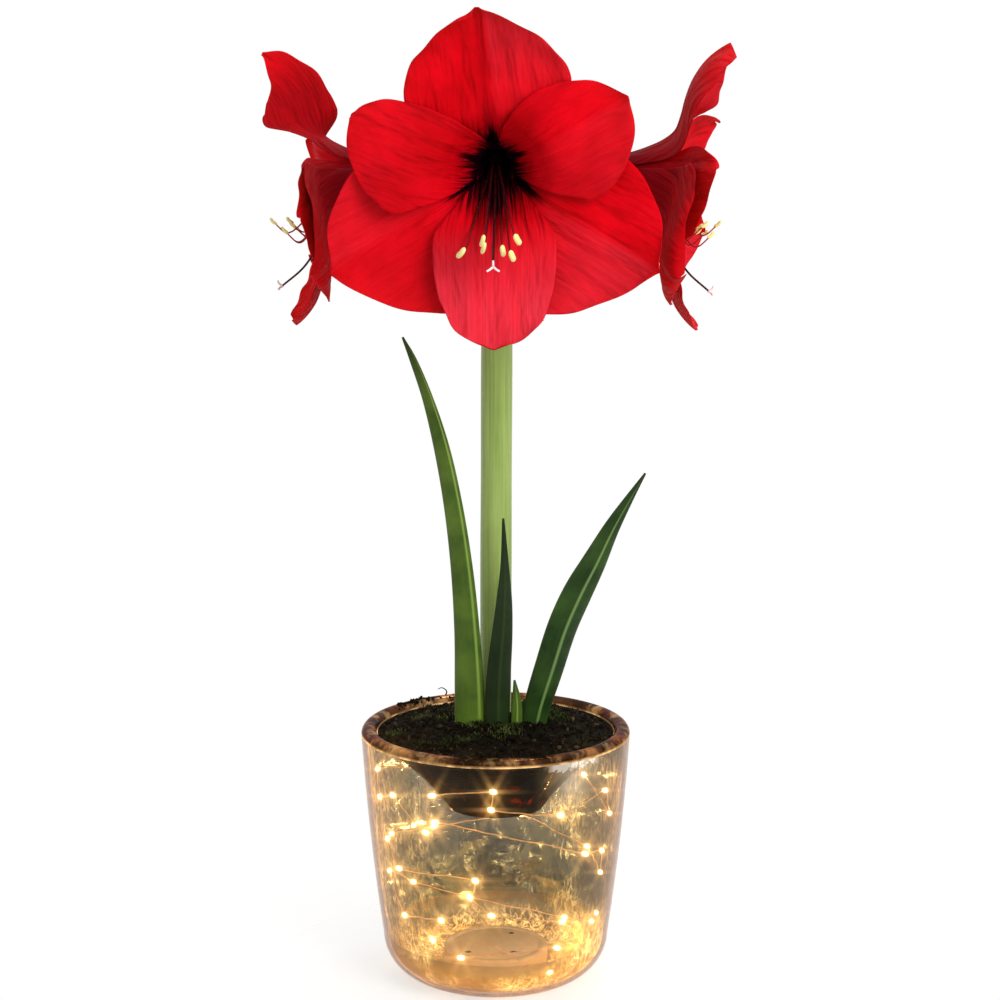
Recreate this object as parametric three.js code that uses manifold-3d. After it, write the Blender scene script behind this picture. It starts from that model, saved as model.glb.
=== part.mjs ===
// A flowering amaryllis (Hippeastrum) in a double-walled glass pot with a light string in its wall gap.
// Millimetres, +Z up. The origin is the centre of the pot's foot, on the surface that the pot stands on,
// and the leading bloom faces -Y.
import * as THREE from "three";
import { mergeVertices } from "three/addons/utils/BufferGeometryUtils.js";
import Module from "manifold-3d";

const wasm = await Module();
wasm.setup();

// ---------------------------------------------------------------- driving dimensions, mm and degrees

const TOUCH_GAP = 0.3; // left between pieces that touch

// Glass pot: outer wall, lip and inner bowl are one blown piece.
const POT_HEIGHT = 143.5;
const POT_RADIUS = 75; // at the lip
const POT_WALL = 2.6;
const POT_SEGMENTS = 28;
const LIP_RADIUS = 4.4;
const FOOT_RADIUS = 39;
const FOOT_RING_RADIUS = 34.4; // inside of the ring that it stands on
const FOOT_RECESS = 2.6; // the base inside the ring is this far off the table
const BASE_CORNER_RADIUS = 24.5;
const BASE_THICKNESS = 6.2; // at the hole for the battery case
const BASE_HOLE_RADIUS = 29.8;
const WALL_BELLY = [71.5, 80]; // radius and height that draw the outer wall into its slight curve
const BOWL_FLOOR_RADIUS = 25;
const BOWL_FLOOR_HEIGHT = 98.6;
const BOWL_BELLY = [40, 121]; // radius and height that draw the bowl into its flare

// Battery case, plugged into the hole in the base from below.
const CASE_RADIUS = 29.4;
const CASE_TOP = 15;
const CASE_WALL = 1.5;
const CASE_BOTTOM = 1; // off the table, so that the glass ring bears the load
const CASE_FLANGE_RADIUS = 32.9;
const CASE_FLANGE_THICKNESS = 1.3;
const COVER_THICKNESS = 1.4;
const CELL_RADIUS = 5.2; // AAA
const CELL_LENGTH = 43.5;
const CELL_NUB_RADIUS = 1.9;
const CELL_NUB_LENGTH = 1;
const CELL_PITCH = 10.9;

// Light string: bearing from the front (-Y) towards +X, radius and height of each lamp along the wire.
const WIRE_RADIUS = 0.6;
const LAMP_RADIUS = 1.6;
const LAMP_HALF_LENGTH = 2.2;
const WIRE_LEAD = [[0, 8, 16], [10, 20, 18.5], [22, 38, 17.5]]; // from the battery case to the first lamp
const LAMPS = [
  [35, 52, 14], [37, 56, 29], [-20, 55, 26], [-37, 57, 34], [-30, 59, 47], [-60, 58, 42],
  [-84, 60, 60], [-124, 58, 40], [-164, 56, 23], [132, 54, 17], [101, 56, 24], [84, 57, 35],
  [39, 58, 44], [-2, 60, 53], [-13, 61, 63], [-10, 62, 73], [-59, 62, 70], [-72, 63, 83],
  [-106, 62, 74], [-143, 61, 68], [166, 61, 72], [120, 61, 62], [73, 61, 63], [72, 62, 76],
  [51, 63, 81], [-30, 65, 104], [-36, 64, 97], [-60, 65, 112], [-85, 65, 103], [-88, 66, 118],
  [-140, 65, 104], [172, 65, 112], [128, 65, 102], [86, 64, 93], [66, 66, 113], [32, 66, 108],
  [-2, 66, 114], [-1, 66, 124], [-31, 66, 119],
];

// Growing medium and bulb.
const SOIL_CROWN = 9; // rise of the middle over the edge
const SOIL_CLUMP = 1.5;
const SOIL_SEGMENTS = 24;
const SOIL_GAP = 0.5; // to the bowl
const BULB_TOP = 139;
const BULB_AXIS_Y = -3;
const BULB_CLEARANCE = 0.8; // the soil is looser over the bulb, and the leaves' holes open into that gap
const BULB_PROFILE = [
  [0, 104], [12, 104.5], [22, 109], [29, 117], [31, 124], [28, 131.5], [20, BULB_TOP],
];

// Scape, the flower stem, with the umbel on its flat top.
const SCAPE_RADIUS = 8.9;
const SCAPE_TOP_RADIUS = 8.6;
const SCAPE_TOP = 420;
const SCAPE_LEAN = 1; // of its top towards +X

// Leaves: [x, y, z, half width] along each midrib from the foot to the tip.
const LEAF_FOOT = BULB_TOP + TOUCH_GAP;
const LEAF_FOOT_THICKNESS = 2.4;
const LEAF_TIP_THICKNESS = 1.1;
const LEAVES = {
  left: {
    cup: 0.3,
    facing: -6,
    midrib: [
      [-14.4, -13, LEAF_FOOT, 8.4], [-14.7, -14, 167, 8.2], [-15.9, -15, 199, 7], [-18.6, -15, 234, 6],
      [-23, -14, 268, 5.2], [-29.2, -12, 300, 4.3], [-37, -10, 328, 2.9], [-44.9, -8, 349, 1.9],
      [-50.2, -7, 360.5, 0.6],
    ],
  },
  middle: {
    cup: 0.3,
    facing: 8,
    midrib: [
      [1.4, -14, LEAF_FOOT, 6.3], [1.4, -16, 158, 6.8], [2.3, -18, 179, 6.6], [3.8, -20, 198, 5.7],
      [4.9, -21, 217, 4.4], [5.1, -21, 238, 2.3], [4.2, -20, 263.5, 0.6],
    ],
  },
  right: {
    cup: 0.3,
    facing: 14,
    midrib: [
      [20.4, -10, LEAF_FOOT, 7.1], [23.4, -12, 155, 7.6], [30, -15, 178, 8.4], [37.3, -17, 202, 8.7],
      [45.2, -19, 221, 8.3], [53.9, -20, 238.5, 7], [63.6, -20, 258.5, 4.6], [73, -20, 275, 2.3],
      [81, -19, 288, 0.6],
    ],
  },
  young: {
    cup: 0.2,
    facing: 10,
    midrib: [
      [11.6, -14.5, LEAF_FOOT, 2.5], [11.8, -15, 149, 3.1], [11.8, -15.5, 160, 2.6],
      [10.4, -16, 172.5, 0.6],
    ],
  },
};

// Withered bracts that once wrapped the umbel, hanging beside the scape.
const BRACT_TOP = SCAPE_TOP - 3;
const BRACT_THICKNESS = 0.9;
const BRACTS = {
  left: { bearing: -62, length: 52, halfWidth: 8, lean: 12 },
  right: { bearing: 128, length: 50, halfWidth: 7, lean: 24 },
};

// Blooms: bearing from the front towards +X, drop of the axis below level, height at which that axis meets
// the scape's, size, how far the blades bend back, and how single tepals differ from those of TEPALS.
const PEDICEL_OFFSET = 4.9; // of its foot from the scape's axis
const PEDICEL_RADIUS = 3.1;
const OVARY_RADIUS = 5.6;
const TUBE_START = 48; // from the scape's axis, along the bloom's axis
const BLOOMS = {
  front: { bearing: 0, nod: 7, height: 461.5, size: 1.08, openness: 1, seed: 3, changes: {} },
  right: {
    bearing: 90,
    nod: 8.6,
    height: 456.2,
    size: 1,
    openness: 0,
    seed: 11,
    changes: {
      top: { twist: 12, reach: 107, halfWidths: [34, 37], cup: 13, open: 1 },
      lower_right: { angle: 110, cup: 4, open: -5 },
      lower_left: { cup: 12, open: 17 },
      upper_right: { angle: 50, halfWidths: [16, 22], cup: 4, open: -9 },
      upper_left: { angle: -80, cup: 2, open: -2 },
    },
  },
  back: { bearing: 180, nod: 8, height: 454, size: 1.03, openness: 0.8, seed: 19, changes: {} },
  left: {
    bearing: 270,
    nod: 7,
    height: 454,
    size: 0.97,
    openness: 0,
    seed: 27,
    changes: {
      top: {
        twist: 72,
        twistOver: [46, 63],
        fold: 3,
        reach: 107,
        halfWidths: [12, 24.5],
        widest: 0.5,
        tapers: [0.8, 1.5],
        cup: 0,
        open: -4,
      },
      lower_right: { halfWidths: [34, 40], cup: 3, open: 17 },
      lower_left: { open: 4 },
      bottom: { twist: 8, cup: 5, open: 1.5 },
      upper_right: { angle: 104, open: 5 },
      upper_left: { open: 5 },
    },
  },
};

// Perianth, in its own frame: Z along the bloom's axis from the tube's start, Y up, X to its right.
const TEPAL_THICKNESS = 1.2;
const TRUMPET = [
  [0, 5.6], [8, 7.6], [16, 10.2], [24, 13.6], [32, 17.6], [40, 22.6], [45.5, 28.5], [47.5, 37],
  [48.5, 46], [51, 56], [56, 65.5], [63, 73], [71, 78.5], [80, 82], [90, 84],
];
const TEPAL_START = 14; // length along the trumpet at which a tepal leaves the cup
const TEPAL_FOOT_HALF_WIDTH = 7;
const TEPAL_SPAN = 1; // greatest half width over the trumpet's radius, so that like tepals stay clear
const LAYER_GAP = 2.2; // inner tepals in front of outer ones, in the tube
const LAYER_SPREAD = 3; // and this much more in the blades
const CUP_PROFILE = [[0, 0], [5.2, 0], [7.4, 7], [12.4, 20], [8.2, 20], [4, 5], [4, 4], [0, 4]];
const CUP_SEGMENTS = 9;
const OUTER = 0;
const INNER = 1;
// Tepals: bearing from the top, length, half widths on the two sides, share of the length at the widest,
// how bluntly each side narrows to the tip, forward cup of the margins, and backward bend of the blade.
const TEPALS = {
  top: {
    layer: OUTER,
    angle: -6,
    reach: 105.6,
    halfWidths: [34.5, 36.5],
    widest: 0.57,
    tapers: [0.6, 0.9],
    cup: 5,
    open: 0,
  },
  lower_right: {
    layer: OUTER,
    angle: 120,
    reach: 110,
    halfWidths: [34, 44],
    widest: 0.52,
    tapers: [0.9, 0.9],
    cup: 2,
    open: 12,
  },
  lower_left: {
    layer: OUTER,
    angle: -120,
    reach: 110,
    halfWidths: [44, 33],
    widest: 0.52,
    tapers: [0.9, 0.9],
    cup: 2,
    open: 12,
  },
  bottom: {
    layer: INNER,
    angle: 180,
    reach: 111.8,
    halfWidths: [25.5, 26],
    widest: 0.58,
    tapers: [0.36, 0.36],
    cup: 1,
    open: 2,
  },
  upper_right: {
    layer: INNER,
    angle: 59.5,
    reach: 93,
    halfWidths: [20, 30],
    widest: 0.6,
    tapers: [0.75, 0.75],
    cup: 1,
    open: 7,
  },
  upper_left: {
    layer: INNER,
    angle: -67,
    reach: 95,
    halfWidths: [32, 13],
    widest: 0.6,
    tapers: [0.75, 0.5],
    cup: 1,
    open: 7,
  },
};
const TWIST_OVER = [45, 75]; // lengths between which a twisted tepal turns
const RUFFLE = 1.6; // of the margins

// Stamens and style, in the perianth's frame: where the filaments end, in turn round the plug, how far they
// sag just before that, and the style's route beyond the tube, up to its stigma.
const OPEN_STAMENS = {
  tips: [
    [10.2, -27.2, 69], [7.8, -34.3, 71], [3.6, -32.5, 68], [-5.2, -31.5, 66], [-15.4, -33.5, 67],
    [-5.6, -27.5, 70],
  ],
  sag: 0,
  style: [[-0.2, -17, 50], [-0.5, -26, 65], [-0.8, -37, 80]],
};
const CURLED_STAMENS = {
  tips: [
    [6, -18, 76], [8, -24, 70], [3, -21, 66], [-3, -23, 65], [-8, -24, 72], [-6, -19, 68],
  ],
  sag: 6,
  style: [[0, -22, 48], [0, -36, 56], [0, -45, 64], [0, -53.5, 77]],
};
const STAMENS = {
  front: OPEN_STAMENS,
  right: CURLED_STAMENS,
  back: OPEN_STAMENS,
  left: CURLED_STAMENS,
};
const PLUG_RADIUS = 3.5;
const PLUG_START = 4 + TOUCH_GAP;
const PLUG_END = 8;
const PLUG_ROOT = 1.5; // depth to which filaments and style stand in the plug
const FILAMENT_RADIUS = 0.8;
const ANTHER_LENGTH = 8;
const ANTHER_RADIUS = 1.6;
const STIGMA_REACH = 3.2;

// ---------------------------------------------------------------- helpers

const { PI } = Math;
const radians = (degrees) => (degrees * PI) / 180;
const mix = (a, b, t) => a + (b - a) * t;

// A repeatable draw between 0 and 1.
function drawer(seed) {
  let state = seed * 2654435761 + 12345;
  return () => {
    state = (Math.imul(state, 1664525) + 1013904223) >>> 0;
    return state / 4294967296;
  };
}

// Distance and bearing from the front (-Y), turning towards +X.
function polar(bearing, radius, height) {
  const angle = radians(bearing);
  return new THREE.Vector3(radius * Math.sin(angle), -radius * Math.cos(angle), height);
}

function solidOf(geometry) {
  const bare = geometry.clone();
  bare.deleteAttribute("normal");
  bare.deleteAttribute("uv");
  const merged = mergeVertices(bare, 1e-4);
  return new wasm.Manifold(
    new wasm.Mesh({
      numProp: 3,
      vertProperties: new Float32Array(merged.attributes.position.array),
      triVerts: new Uint32Array(merged.index.array),
    }),
  );
}

// The largest body of a solid, without scraps and sealed pockets.
function mainBody(solid) {
  return solid.decompose().sort((a, b) => b.volume() - a.volume())[0];
}

function geometryOf(solid) {
  const mesh = solid.getMesh();
  const geometry = new THREE.BufferGeometry();
  geometry.setAttribute("position", new THREE.BufferAttribute(mesh.vertProperties, 3));
  geometry.setIndex(new THREE.BufferAttribute(mesh.triVerts, 1));
  geometry.computeVertexNormals();
  return geometry;
}

const fuse = (solids) => mainBody(solids.reduce((sum, solid) => sum.add(solid)));

// A solid of revolution round Z. Its profile, [radius, height], runs with the material on its left.
function revolve(profile, segments) {
  const points = profile.map(([radius, height]) => new THREE.Vector2(radius, height));
  return new THREE.LatheGeometry(points, segments).rotateX(PI / 2);
}

// A thin closed sheet: point(u, v) gives its middle surface for u from 0 to 1 and v from -1 to 1.
function sheet(point, rows, columns, thicknessAt) {
  const step = 1e-3;
  const vertices = [];
  for (const side of [1, -1]) {
    for (let i = 0; i <= rows; i++) {
      for (let j = 0; j <= columns; j++) {
        const u = i / rows;
        const v = (2 * j) / columns - 1;
        const middle = point(u, v);
        const along = point(u + step, v).sub(point(u - step, v));
        const across = point(u, v + step).sub(point(u, v - step));
        const normal = along.cross(across).normalize();
        vertices.push(...middle.addScaledVector(normal, (side * thicknessAt(u)) / 2).toArray());
      }
    }
  }
  const width = columns + 1;
  const back = (rows + 1) * width;
  const faces = [];
  for (let i = 0; i < rows; i++) {
    for (let j = 0; j < columns; j++) {
      const a = i * width + j;
      const [b, c, d] = [a + width, a + width + 1, a + 1];
      faces.push(a, b, c, a, c, d, back + a, back + c, back + b, back + a, back + d, back + c);
    }
  }
  const rim = [];
  for (let j = 0; j < columns; j++) rim.push(j);
  for (let i = 0; i < rows; i++) rim.push(i * width + columns);
  for (let j = columns; j > 0; j--) rim.push(rows * width + j);
  for (let i = rows; i > 0; i--) rim.push(i * width);
  rim.forEach((a, k) => {
    const b = rim[(k + 1) % rim.length];
    faces.push(a, b, back + b, a, back + b, back + a);
  });
  const geometry = new THREE.BufferGeometry();
  geometry.setAttribute("position", new THREE.Float32BufferAttribute(vertices, 3));
  geometry.setIndex(faces);
  return geometry;
}

// A closed round bar along points, with a radius that changes evenly from one given value to the next.
function bar(points, radii, sides, steps) {
  const curve = new THREE.CatmullRomCurve3(points, false, "centripetal");
  const vertices = [];
  const faces = [];
  const normal = new THREE.Vector3(0.31, 0.87, 0.39);
  for (let i = 0; i <= steps; i++) {
    const centre = curve.getPoint(i / steps);
    const tangent = curve.getTangent(i / steps);
    normal.addScaledVector(tangent, -normal.dot(tangent)).normalize();
    const binormal = new THREE.Vector3().crossVectors(tangent, normal);
    const place = (i / steps) * (radii.length - 1);
    const before = Math.min(Math.floor(place), radii.length - 2);
    const radius = mix(radii[before], radii[before + 1], place - before);
    for (let k = 0; k < sides; k++) {
      const angle = (2 * PI * k) / sides;
      const vertex = centre.clone().addScaledVector(normal, radius * Math.cos(angle));
      vertices.push(...vertex.addScaledVector(binormal, radius * Math.sin(angle)).toArray());
    }
  }
  for (let i = 0; i < steps; i++) {
    for (let k = 0; k < sides; k++) {
      const a = i * sides + k;
      const b = i * sides + ((k + 1) % sides);
      faces.push(a, b, b + sides, a, b + sides, a + sides);
    }
  }
  for (const [ring, end] of [[0, 0], [steps * sides, 1]]) {
    const middle = vertices.length / 3;
    vertices.push(...curve.getPoint(end).toArray());
    for (let k = 0; k < sides; k++) {
      const [a, b] = [ring + k, ring + ((k + 1) % sides)];
      faces.push(...(end ? [middle, a, b] : [middle, b, a]));
    }
  }
  const geometry = new THREE.BufferGeometry();
  geometry.setAttribute("position", new THREE.Float32BufferAttribute(vertices, 3));
  geometry.setIndex(faces);
  return geometry;
}

// Points of a curve in the radius and height plane, moved sideways, positive to its left.
function offsetPoints(curve, count, distance) {
  return Array.from({ length: count + 1 }, (_, i) => {
    const point = curve.getPoint(i / count);
    const tangent = curve.getTangent(i / count);
    return [point.x - tangent.y * distance, point.y + tangent.x * distance];
  });
}

function arcPoints(x, y, radius, from, to, count) {
  return Array.from({ length: count + 1 }, (_, i) => {
    const angle = radians(mix(from, to, i / count));
    return [x + radius * Math.cos(angle), y + radius * Math.sin(angle)];
  });
}

// ---------------------------------------------------------------- materials

const material = (color, roughness, metalness = 0, extra = {}) =>
  new THREE.MeshStandardMaterial({ color, roughness, metalness, ...extra });
const GLASS = material(0xd8d2c4, 0.08, 0, { transparent: true, opacity: 0.35 });
const CASE_PLASTIC = material(0xcfc3ae, 0.5);
const CELL_STEEL = material(0xb8bcc0, 0.35, 0.9);
const COPPER = material(0xc8763a, 0.3, 0.9, { emissive: 0xffb050, emissiveIntensity: 0.6 });
const SOIL = material(0x1d1a12, 0.95);
const BULB_SKIN = material(0x7a5230, 0.8);
const SCAPE_GREEN = material(0x8fa45a, 0.5);
const LEAF_GREEN = material(0x3f6a2c, 0.45);
const DARK_LEAF_GREEN = material(0x24402a, 0.45);
const BRACT_BROWN = material(0xb09a76, 0.85);
const PETAL_RED = material(0xdd0c1c, 0.5);
const STAMEN_RED = material(0xb8423a, 0.5);

function part(name, geometry, look) {
  const mesh = new THREE.Mesh(geometry, look);
  mesh.name = name;
  return mesh;
}

// ---------------------------------------------------------------- glass pot

const lipCentre = [POT_RADIUS - LIP_RADIUS, POT_HEIGHT - LIP_RADIUS];
const outerWall = new THREE.QuadraticBezierCurve(
  new THREE.Vector2(FOOT_RADIUS + BASE_CORNER_RADIUS, BASE_CORNER_RADIUS),
  new THREE.Vector2(...WALL_BELLY),
  new THREE.Vector2(POT_RADIUS, lipCentre[1]),
);
const bowl = new THREE.QuadraticBezierCurve(
  new THREE.Vector2(BOWL_FLOOR_RADIUS, BOWL_FLOOR_HEIGHT),
  new THREE.Vector2(...BOWL_BELLY),
  new THREE.Vector2(POT_RADIUS - 2 * LIP_RADIUS, lipCentre[1]),
);

function glassVessel() {
  const innerCorner = BASE_CORNER_RADIUS - POT_WALL;
  const cornerHeight = BASE_CORNER_RADIUS;
  const profile = [
    [0, BOWL_FLOOR_HEIGHT - POT_WALL],
    ...offsetPoints(bowl, 3, -POT_WALL),
    [lipCentre[0] - 0.8, lipCentre[1] - 3.6],
    ...offsetPoints(outerWall, 2, POT_WALL).slice(1).reverse(),
    ...arcPoints(FOOT_RADIUS, cornerHeight, innerCorner, 0, -50, 2),
    [FOOT_RADIUS - 2, BASE_THICKNESS - 1.6],
    [BASE_HOLE_RADIUS, BASE_THICKNESS],
    [BASE_HOLE_RADIUS, FOOT_RECESS],
    [FOOT_RING_RADIUS - 1, FOOT_RECESS],
    [FOOT_RING_RADIUS, 0],
    ...arcPoints(FOOT_RADIUS, cornerHeight, BASE_CORNER_RADIUS, -90, 0, 4),
    ...offsetPoints(outerWall, 3, 0).slice(1, -1),
    ...arcPoints(...lipCentre, LIP_RADIUS, 0, 180, 6),
    ...offsetPoints(bowl, 3, 0).slice(0, -1).reverse(),
    [0, BOWL_FLOOR_HEIGHT],
  ];
  return part("glass_vessel", revolve(profile, POT_SEGMENTS), GLASS);
}

// ---------------------------------------------------------------- battery case, cover and cells

function batteryCase() {
  const ceiling = CASE_TOP - CASE_WALL;
  const room = CASE_RADIUS - CASE_WALL;
  const flangeTop = CASE_BOTTOM + CASE_FLANGE_THICKNESS;
  const profile = [
    [0, ceiling],
    [room, ceiling],
    [room, CASE_BOTTOM],
    [CASE_FLANGE_RADIUS, CASE_BOTTOM],
    [CASE_FLANGE_RADIUS, flangeTop],
    [CASE_RADIUS, flangeTop],
    [CASE_RADIUS, CASE_TOP - 1],
    [CASE_RADIUS - 1, CASE_TOP],
    [0, CASE_TOP],
  ];
  return part("battery_case", revolve(profile, POT_SEGMENTS), CASE_PLASTIC);
}

function batteryCover() {
  const radius = CASE_RADIUS - CASE_WALL - TOUCH_GAP;
  const top = CASE_BOTTOM + COVER_THICKNESS;
  const profile = [[0, CASE_BOTTOM], [radius, CASE_BOTTOM], [radius, top], [0, top]];
  return part("battery_cover", revolve(profile, POT_SEGMENTS), CASE_PLASTIC);
}

// A cell lies along X on the cover; neighbours point opposite ways.
function batteryCell(number) {
  const half = CELL_LENGTH / 2;
  const profile = [
    [0, -half],
    [CELL_RADIUS, -half],
    [CELL_RADIUS, half],
    [CELL_NUB_RADIUS, half],
    [CELL_NUB_RADIUS, half + CELL_NUB_LENGTH],
    [0, half + CELL_NUB_LENGTH],
  ];
  const cell = part("battery_cell_" + number, revolve(profile, 12), CELL_STEEL);
  cell.rotation.y = number % 2 ? PI / 2 : -PI / 2;
  const height = CASE_BOTTOM + COVER_THICKNESS + TOUCH_GAP + CELL_RADIUS;
  cell.position.set(0, (number - 2) * CELL_PITCH, height);
  return cell;
}

// ---------------------------------------------------------------- light string

// The wire runs straight from lamp to lamp, and swells into each of them.
function lightString() {
  const lead = WIRE_LEAD.map((point) => polar(...point));
  const lamps = LAMPS.map((lamp) => polar(...lamp));
  const points = [...lead];
  const radii = lead.map(() => WIRE_RADIUS);
  lamps.forEach((lamp, i) => {
    const before = i ? lamps[i - 1] : lead.at(-1);
    const after = lamps[i + 1] ?? lamp.clone().multiplyScalar(2).sub(before);
    const along = after.clone().sub(before).setLength(LAMP_HALF_LENGTH);
    points.push(lamp.clone().sub(along), lamp, lamp.clone().add(along));
    radii.push(WIRE_RADIUS, LAMP_RADIUS, WIRE_RADIUS);
  });
  return part("light_string", bar(points, radii, 4, points.length - 1), COPPER);
}

// ---------------------------------------------------------------- soil and bulb

function bulbGeometry(growth) {
  const profile = BULB_PROFILE.map(([radius, height]) => [
    radius ? radius + growth : 0,
    height + (height > BULB_PROFILE[3][1] ? growth : -growth),
  ]);
  return revolve([...profile, [0, BULB_TOP + growth]], 20).translate(0, BULB_AXIS_Y, 0);
}

const soilWall = offsetPoints(bowl, 3, SOIL_GAP);
const soilEdge = soilWall.at(-1);

// Height of the soil's clumpy top.
function soilTop(x, y) {
  const edge = Math.hypot(x, y) / soilEdge[0];
  const clumps = Math.sin(x * 0.31 + 1.3 * Math.sin(y * 0.17)) * Math.cos(y * 0.27 + Math.sin(x * 0.21));
  return soilEdge[1] + SOIL_CROWN * (1 - edge ** 2) ** 1.2 + SOIL_CLUMP * clumps * (1 - edge ** 4);
}

function soil() {
  const rings = [0.8, 0.52, 0.26, 0].map((share) => [soilEdge[0] * share, soilEdge[1]]);
  const geometry = revolve([[0, soilWall[0][1]], ...soilWall, ...rings], SOIL_SEGMENTS);
  const places = geometry.attributes.position;
  for (let i = 0; i < places.count; i++) {
    const [x, y] = [places.getX(i), places.getY(i)];
    const onTop = places.getZ(i) > soilEdge[1] - 0.01 && Math.hypot(x, y) < soilEdge[0] - 0.01;
    if (onTop) places.setZ(i, soilTop(x, y));
  }
  const hollow = bulbGeometry(BULB_CLEARANCE);
  const stems = Object.values(LEAVES).map((leaf) => leafGeometry(leaf, TOUCH_GAP));
  const cuts = [hollow, scapeGeometry(TOUCH_GAP), ...stems].map(solidOf);
  const solid = cuts.reduce((rest, cut) => rest.subtract(cut), solidOf(geometry));
  return part("soil", geometryOf(mainBody(solid)), SOIL);
}

const bulb = () => part("bulb", bulbGeometry(0), BULB_SKIN);

// ---------------------------------------------------------------- scape, leaves and bracts

// growth widens a stem or leaf to its hole in the soil.
function scapeGeometry(growth) {
  const foot = new THREE.Vector3(0, 0, LEAF_FOOT - growth);
  const top = new THREE.Vector3(SCAPE_LEAN, 0, SCAPE_TOP);
  return bar([foot, top], [SCAPE_RADIUS + growth, SCAPE_TOP_RADIUS + growth], 20, 2);
}

function leafGeometry({ midrib, cup, facing }, growth = 0) {
  const points = midrib.map(([x, y, z]) => new THREE.Vector3(x, y, z));
  const curve = new THREE.CatmullRomCurve3(points, false, "centripetal");
  const outward = new THREE.Vector3(Math.sin(radians(facing)), -Math.cos(radians(facing)), 0);
  const point = (u, v) => {
    const t = Math.min(Math.max(u, 0), 1);
    const place = t * (midrib.length - 1);
    const before = Math.min(Math.floor(place), midrib.length - 2);
    const halfWidth = mix(midrib[before][3], midrib[before + 1][3], place - before) + growth;
    const tangent = curve.getTangent(t);
    const across = new THREE.Vector3().crossVectors(outward, tangent).normalize();
    const spot = curve.getPoint(t).addScaledVector(tangent, (u - t) * 100 + (2 * t - 1) * growth);
    spot.addScaledVector(across, -v * halfWidth);
    return spot.addScaledVector(outward, -cup * halfWidth * v * v);
  };
  const rows = 2 * (midrib.length - 1);
  return sheet(point, rows, 4, (u) => mix(LEAF_FOOT_THICKNESS, LEAF_TIP_THICKNESS, u) + 2 * growth);
}

function leaf(name) {
  const look = name === "middle" ? DARK_LEAF_GREEN : LEAF_GREEN;
  return part("leaf_" + name, leafGeometry(LEAVES[name]), look);
}

function spatheBract(name) {
  const { bearing, length, halfWidth, lean } = BRACTS[name];
  const reach = SCAPE_RADIUS + TOUCH_GAP + 0.5;
  const point = (u, v) => {
    const width = halfWidth * Math.sin(PI * Math.min(0.3 + 0.68 * u, 0.98));
    const away = reach + lean * u * u * Math.sin(PI * 0.62 * u);
    const turn = bearing + ((v * width) / (away + 4)) * (180 / PI);
    const spot = polar(turn, away + 0.6 * Math.sin(9 * u) * v * u, BRACT_TOP - length * u);
    return spot.setX(spot.x + SCAPE_LEAN);
  };
  return part("spathe_bract_" + name, sheet(point, 7, 4, () => BRACT_THICKNESS), BRACT_BROWN);
}

// ---------------------------------------------------------------- blooms

const trumpet = new THREE.SplineCurve(TRUMPET.map(([z, radius]) => new THREE.Vector2(z, radius)));
const trumpetLength = trumpet.getLength();
const trumpetAt = (length) => trumpet.getPointAt(Math.min(Math.max(length / trumpetLength, 0), 1));
const ease = (value, from, to) => THREE.MathUtils.smoothstep(value, from, to);

function tepalHalfWidth({ halfWidths, widest, tapers }, u, side) {
  const taper = tapers[side];
  const rise = (widest * taper) / (1 - widest);
  const outline = (u / widest) ** rise * ((1 - u) / (1 - widest)) ** taper;
  return TEPAL_FOOT_HALF_WIDTH * (1 - u) + halfWidths[side] * outline;
}

// A point of a tepal's middle surface: laid on the trumpet, then cupped, opened, twisted and ruffled.
function tepalPoint(tepal, phase, row, v) {
  const u = 0.997 * (1 - (1 - Math.min(Math.max(row, 0), 1)) ** 1.4);
  const length = TEPAL_START + u * (tepal.reach - TEPAL_START);
  const here = trumpetAt(length);
  const across = v * Math.min(tepalHalfWidth(tepal, u, v < 0 ? 0 : 1), TEPAL_SPAN * here.y);
  const flare = Math.min(Math.max(trumpetAt(length + 1).y - here.y, 0), 1);
  const blade = ease(length, 38, tepal.reach);
  const turned = ease(length, ...(tepal.twistOver ?? TWIST_OVER));
  const twist = radians(tepal.twist ?? 0) * turned;
  const level = across * Math.cos(twist) + (tepal.fold ?? 0) * Math.abs(v) * turned;
  const turn = mix(level / here.y, Math.atan2(level, here.y), flare);
  const onTrumpet = length + flare * (Math.hypot(here.y, level) - here.y);
  const spot = trumpetAt(onTrumpet);
  const ahead = trumpetAt(onTrumpet + 0.5).sub(trumpetAt(onTrumpet - 0.5)).normalize();
  const wave = Math.sin(2 * PI * (1.3 * u + phase) + (v > 0 ? 1.9 : 0));
  const ruffle = RUFFLE * blade * Math.abs(v) ** 3 * wave;
  const lift = tepal.layer * (LAYER_GAP + LAYER_SPREAD * ease(length, 40, 70));
  const forward = lift + tepal.cup * v * v * blade * (1.6 - blade) + ruffle + across * Math.sin(twist);
  const z = spot.x + ahead.y * forward - tepal.open * blade * blade;
  const radius = spot.y - ahead.x * forward + 0.7 * tepal.open * blade * blade;
  const angle = radians(tepal.angle) + turn;
  return new THREE.Vector3(radius * Math.sin(angle), radius * Math.cos(angle), z);
}

function perianthGeometry({ seed, openness, changes }) {
  const draw = drawer(seed);
  const cup = solidOf(revolve(CUP_PROFILE, CUP_SEGMENTS));
  const tepals = Object.entries(TEPALS).map(([name, tepal]) => {
    const phase = draw();
    const grown = { ...tepal, open: tepal.open * openness, ...changes[name] };
    const columns = tepal.layer === OUTER ? 6 : 4;
    return solidOf(sheet((u, v) => tepalPoint(grown, phase, u, v), 6, columns, () => TEPAL_THICKNESS));
  });
  return geometryOf(fuse([cup, ...tepals]));
}

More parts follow.
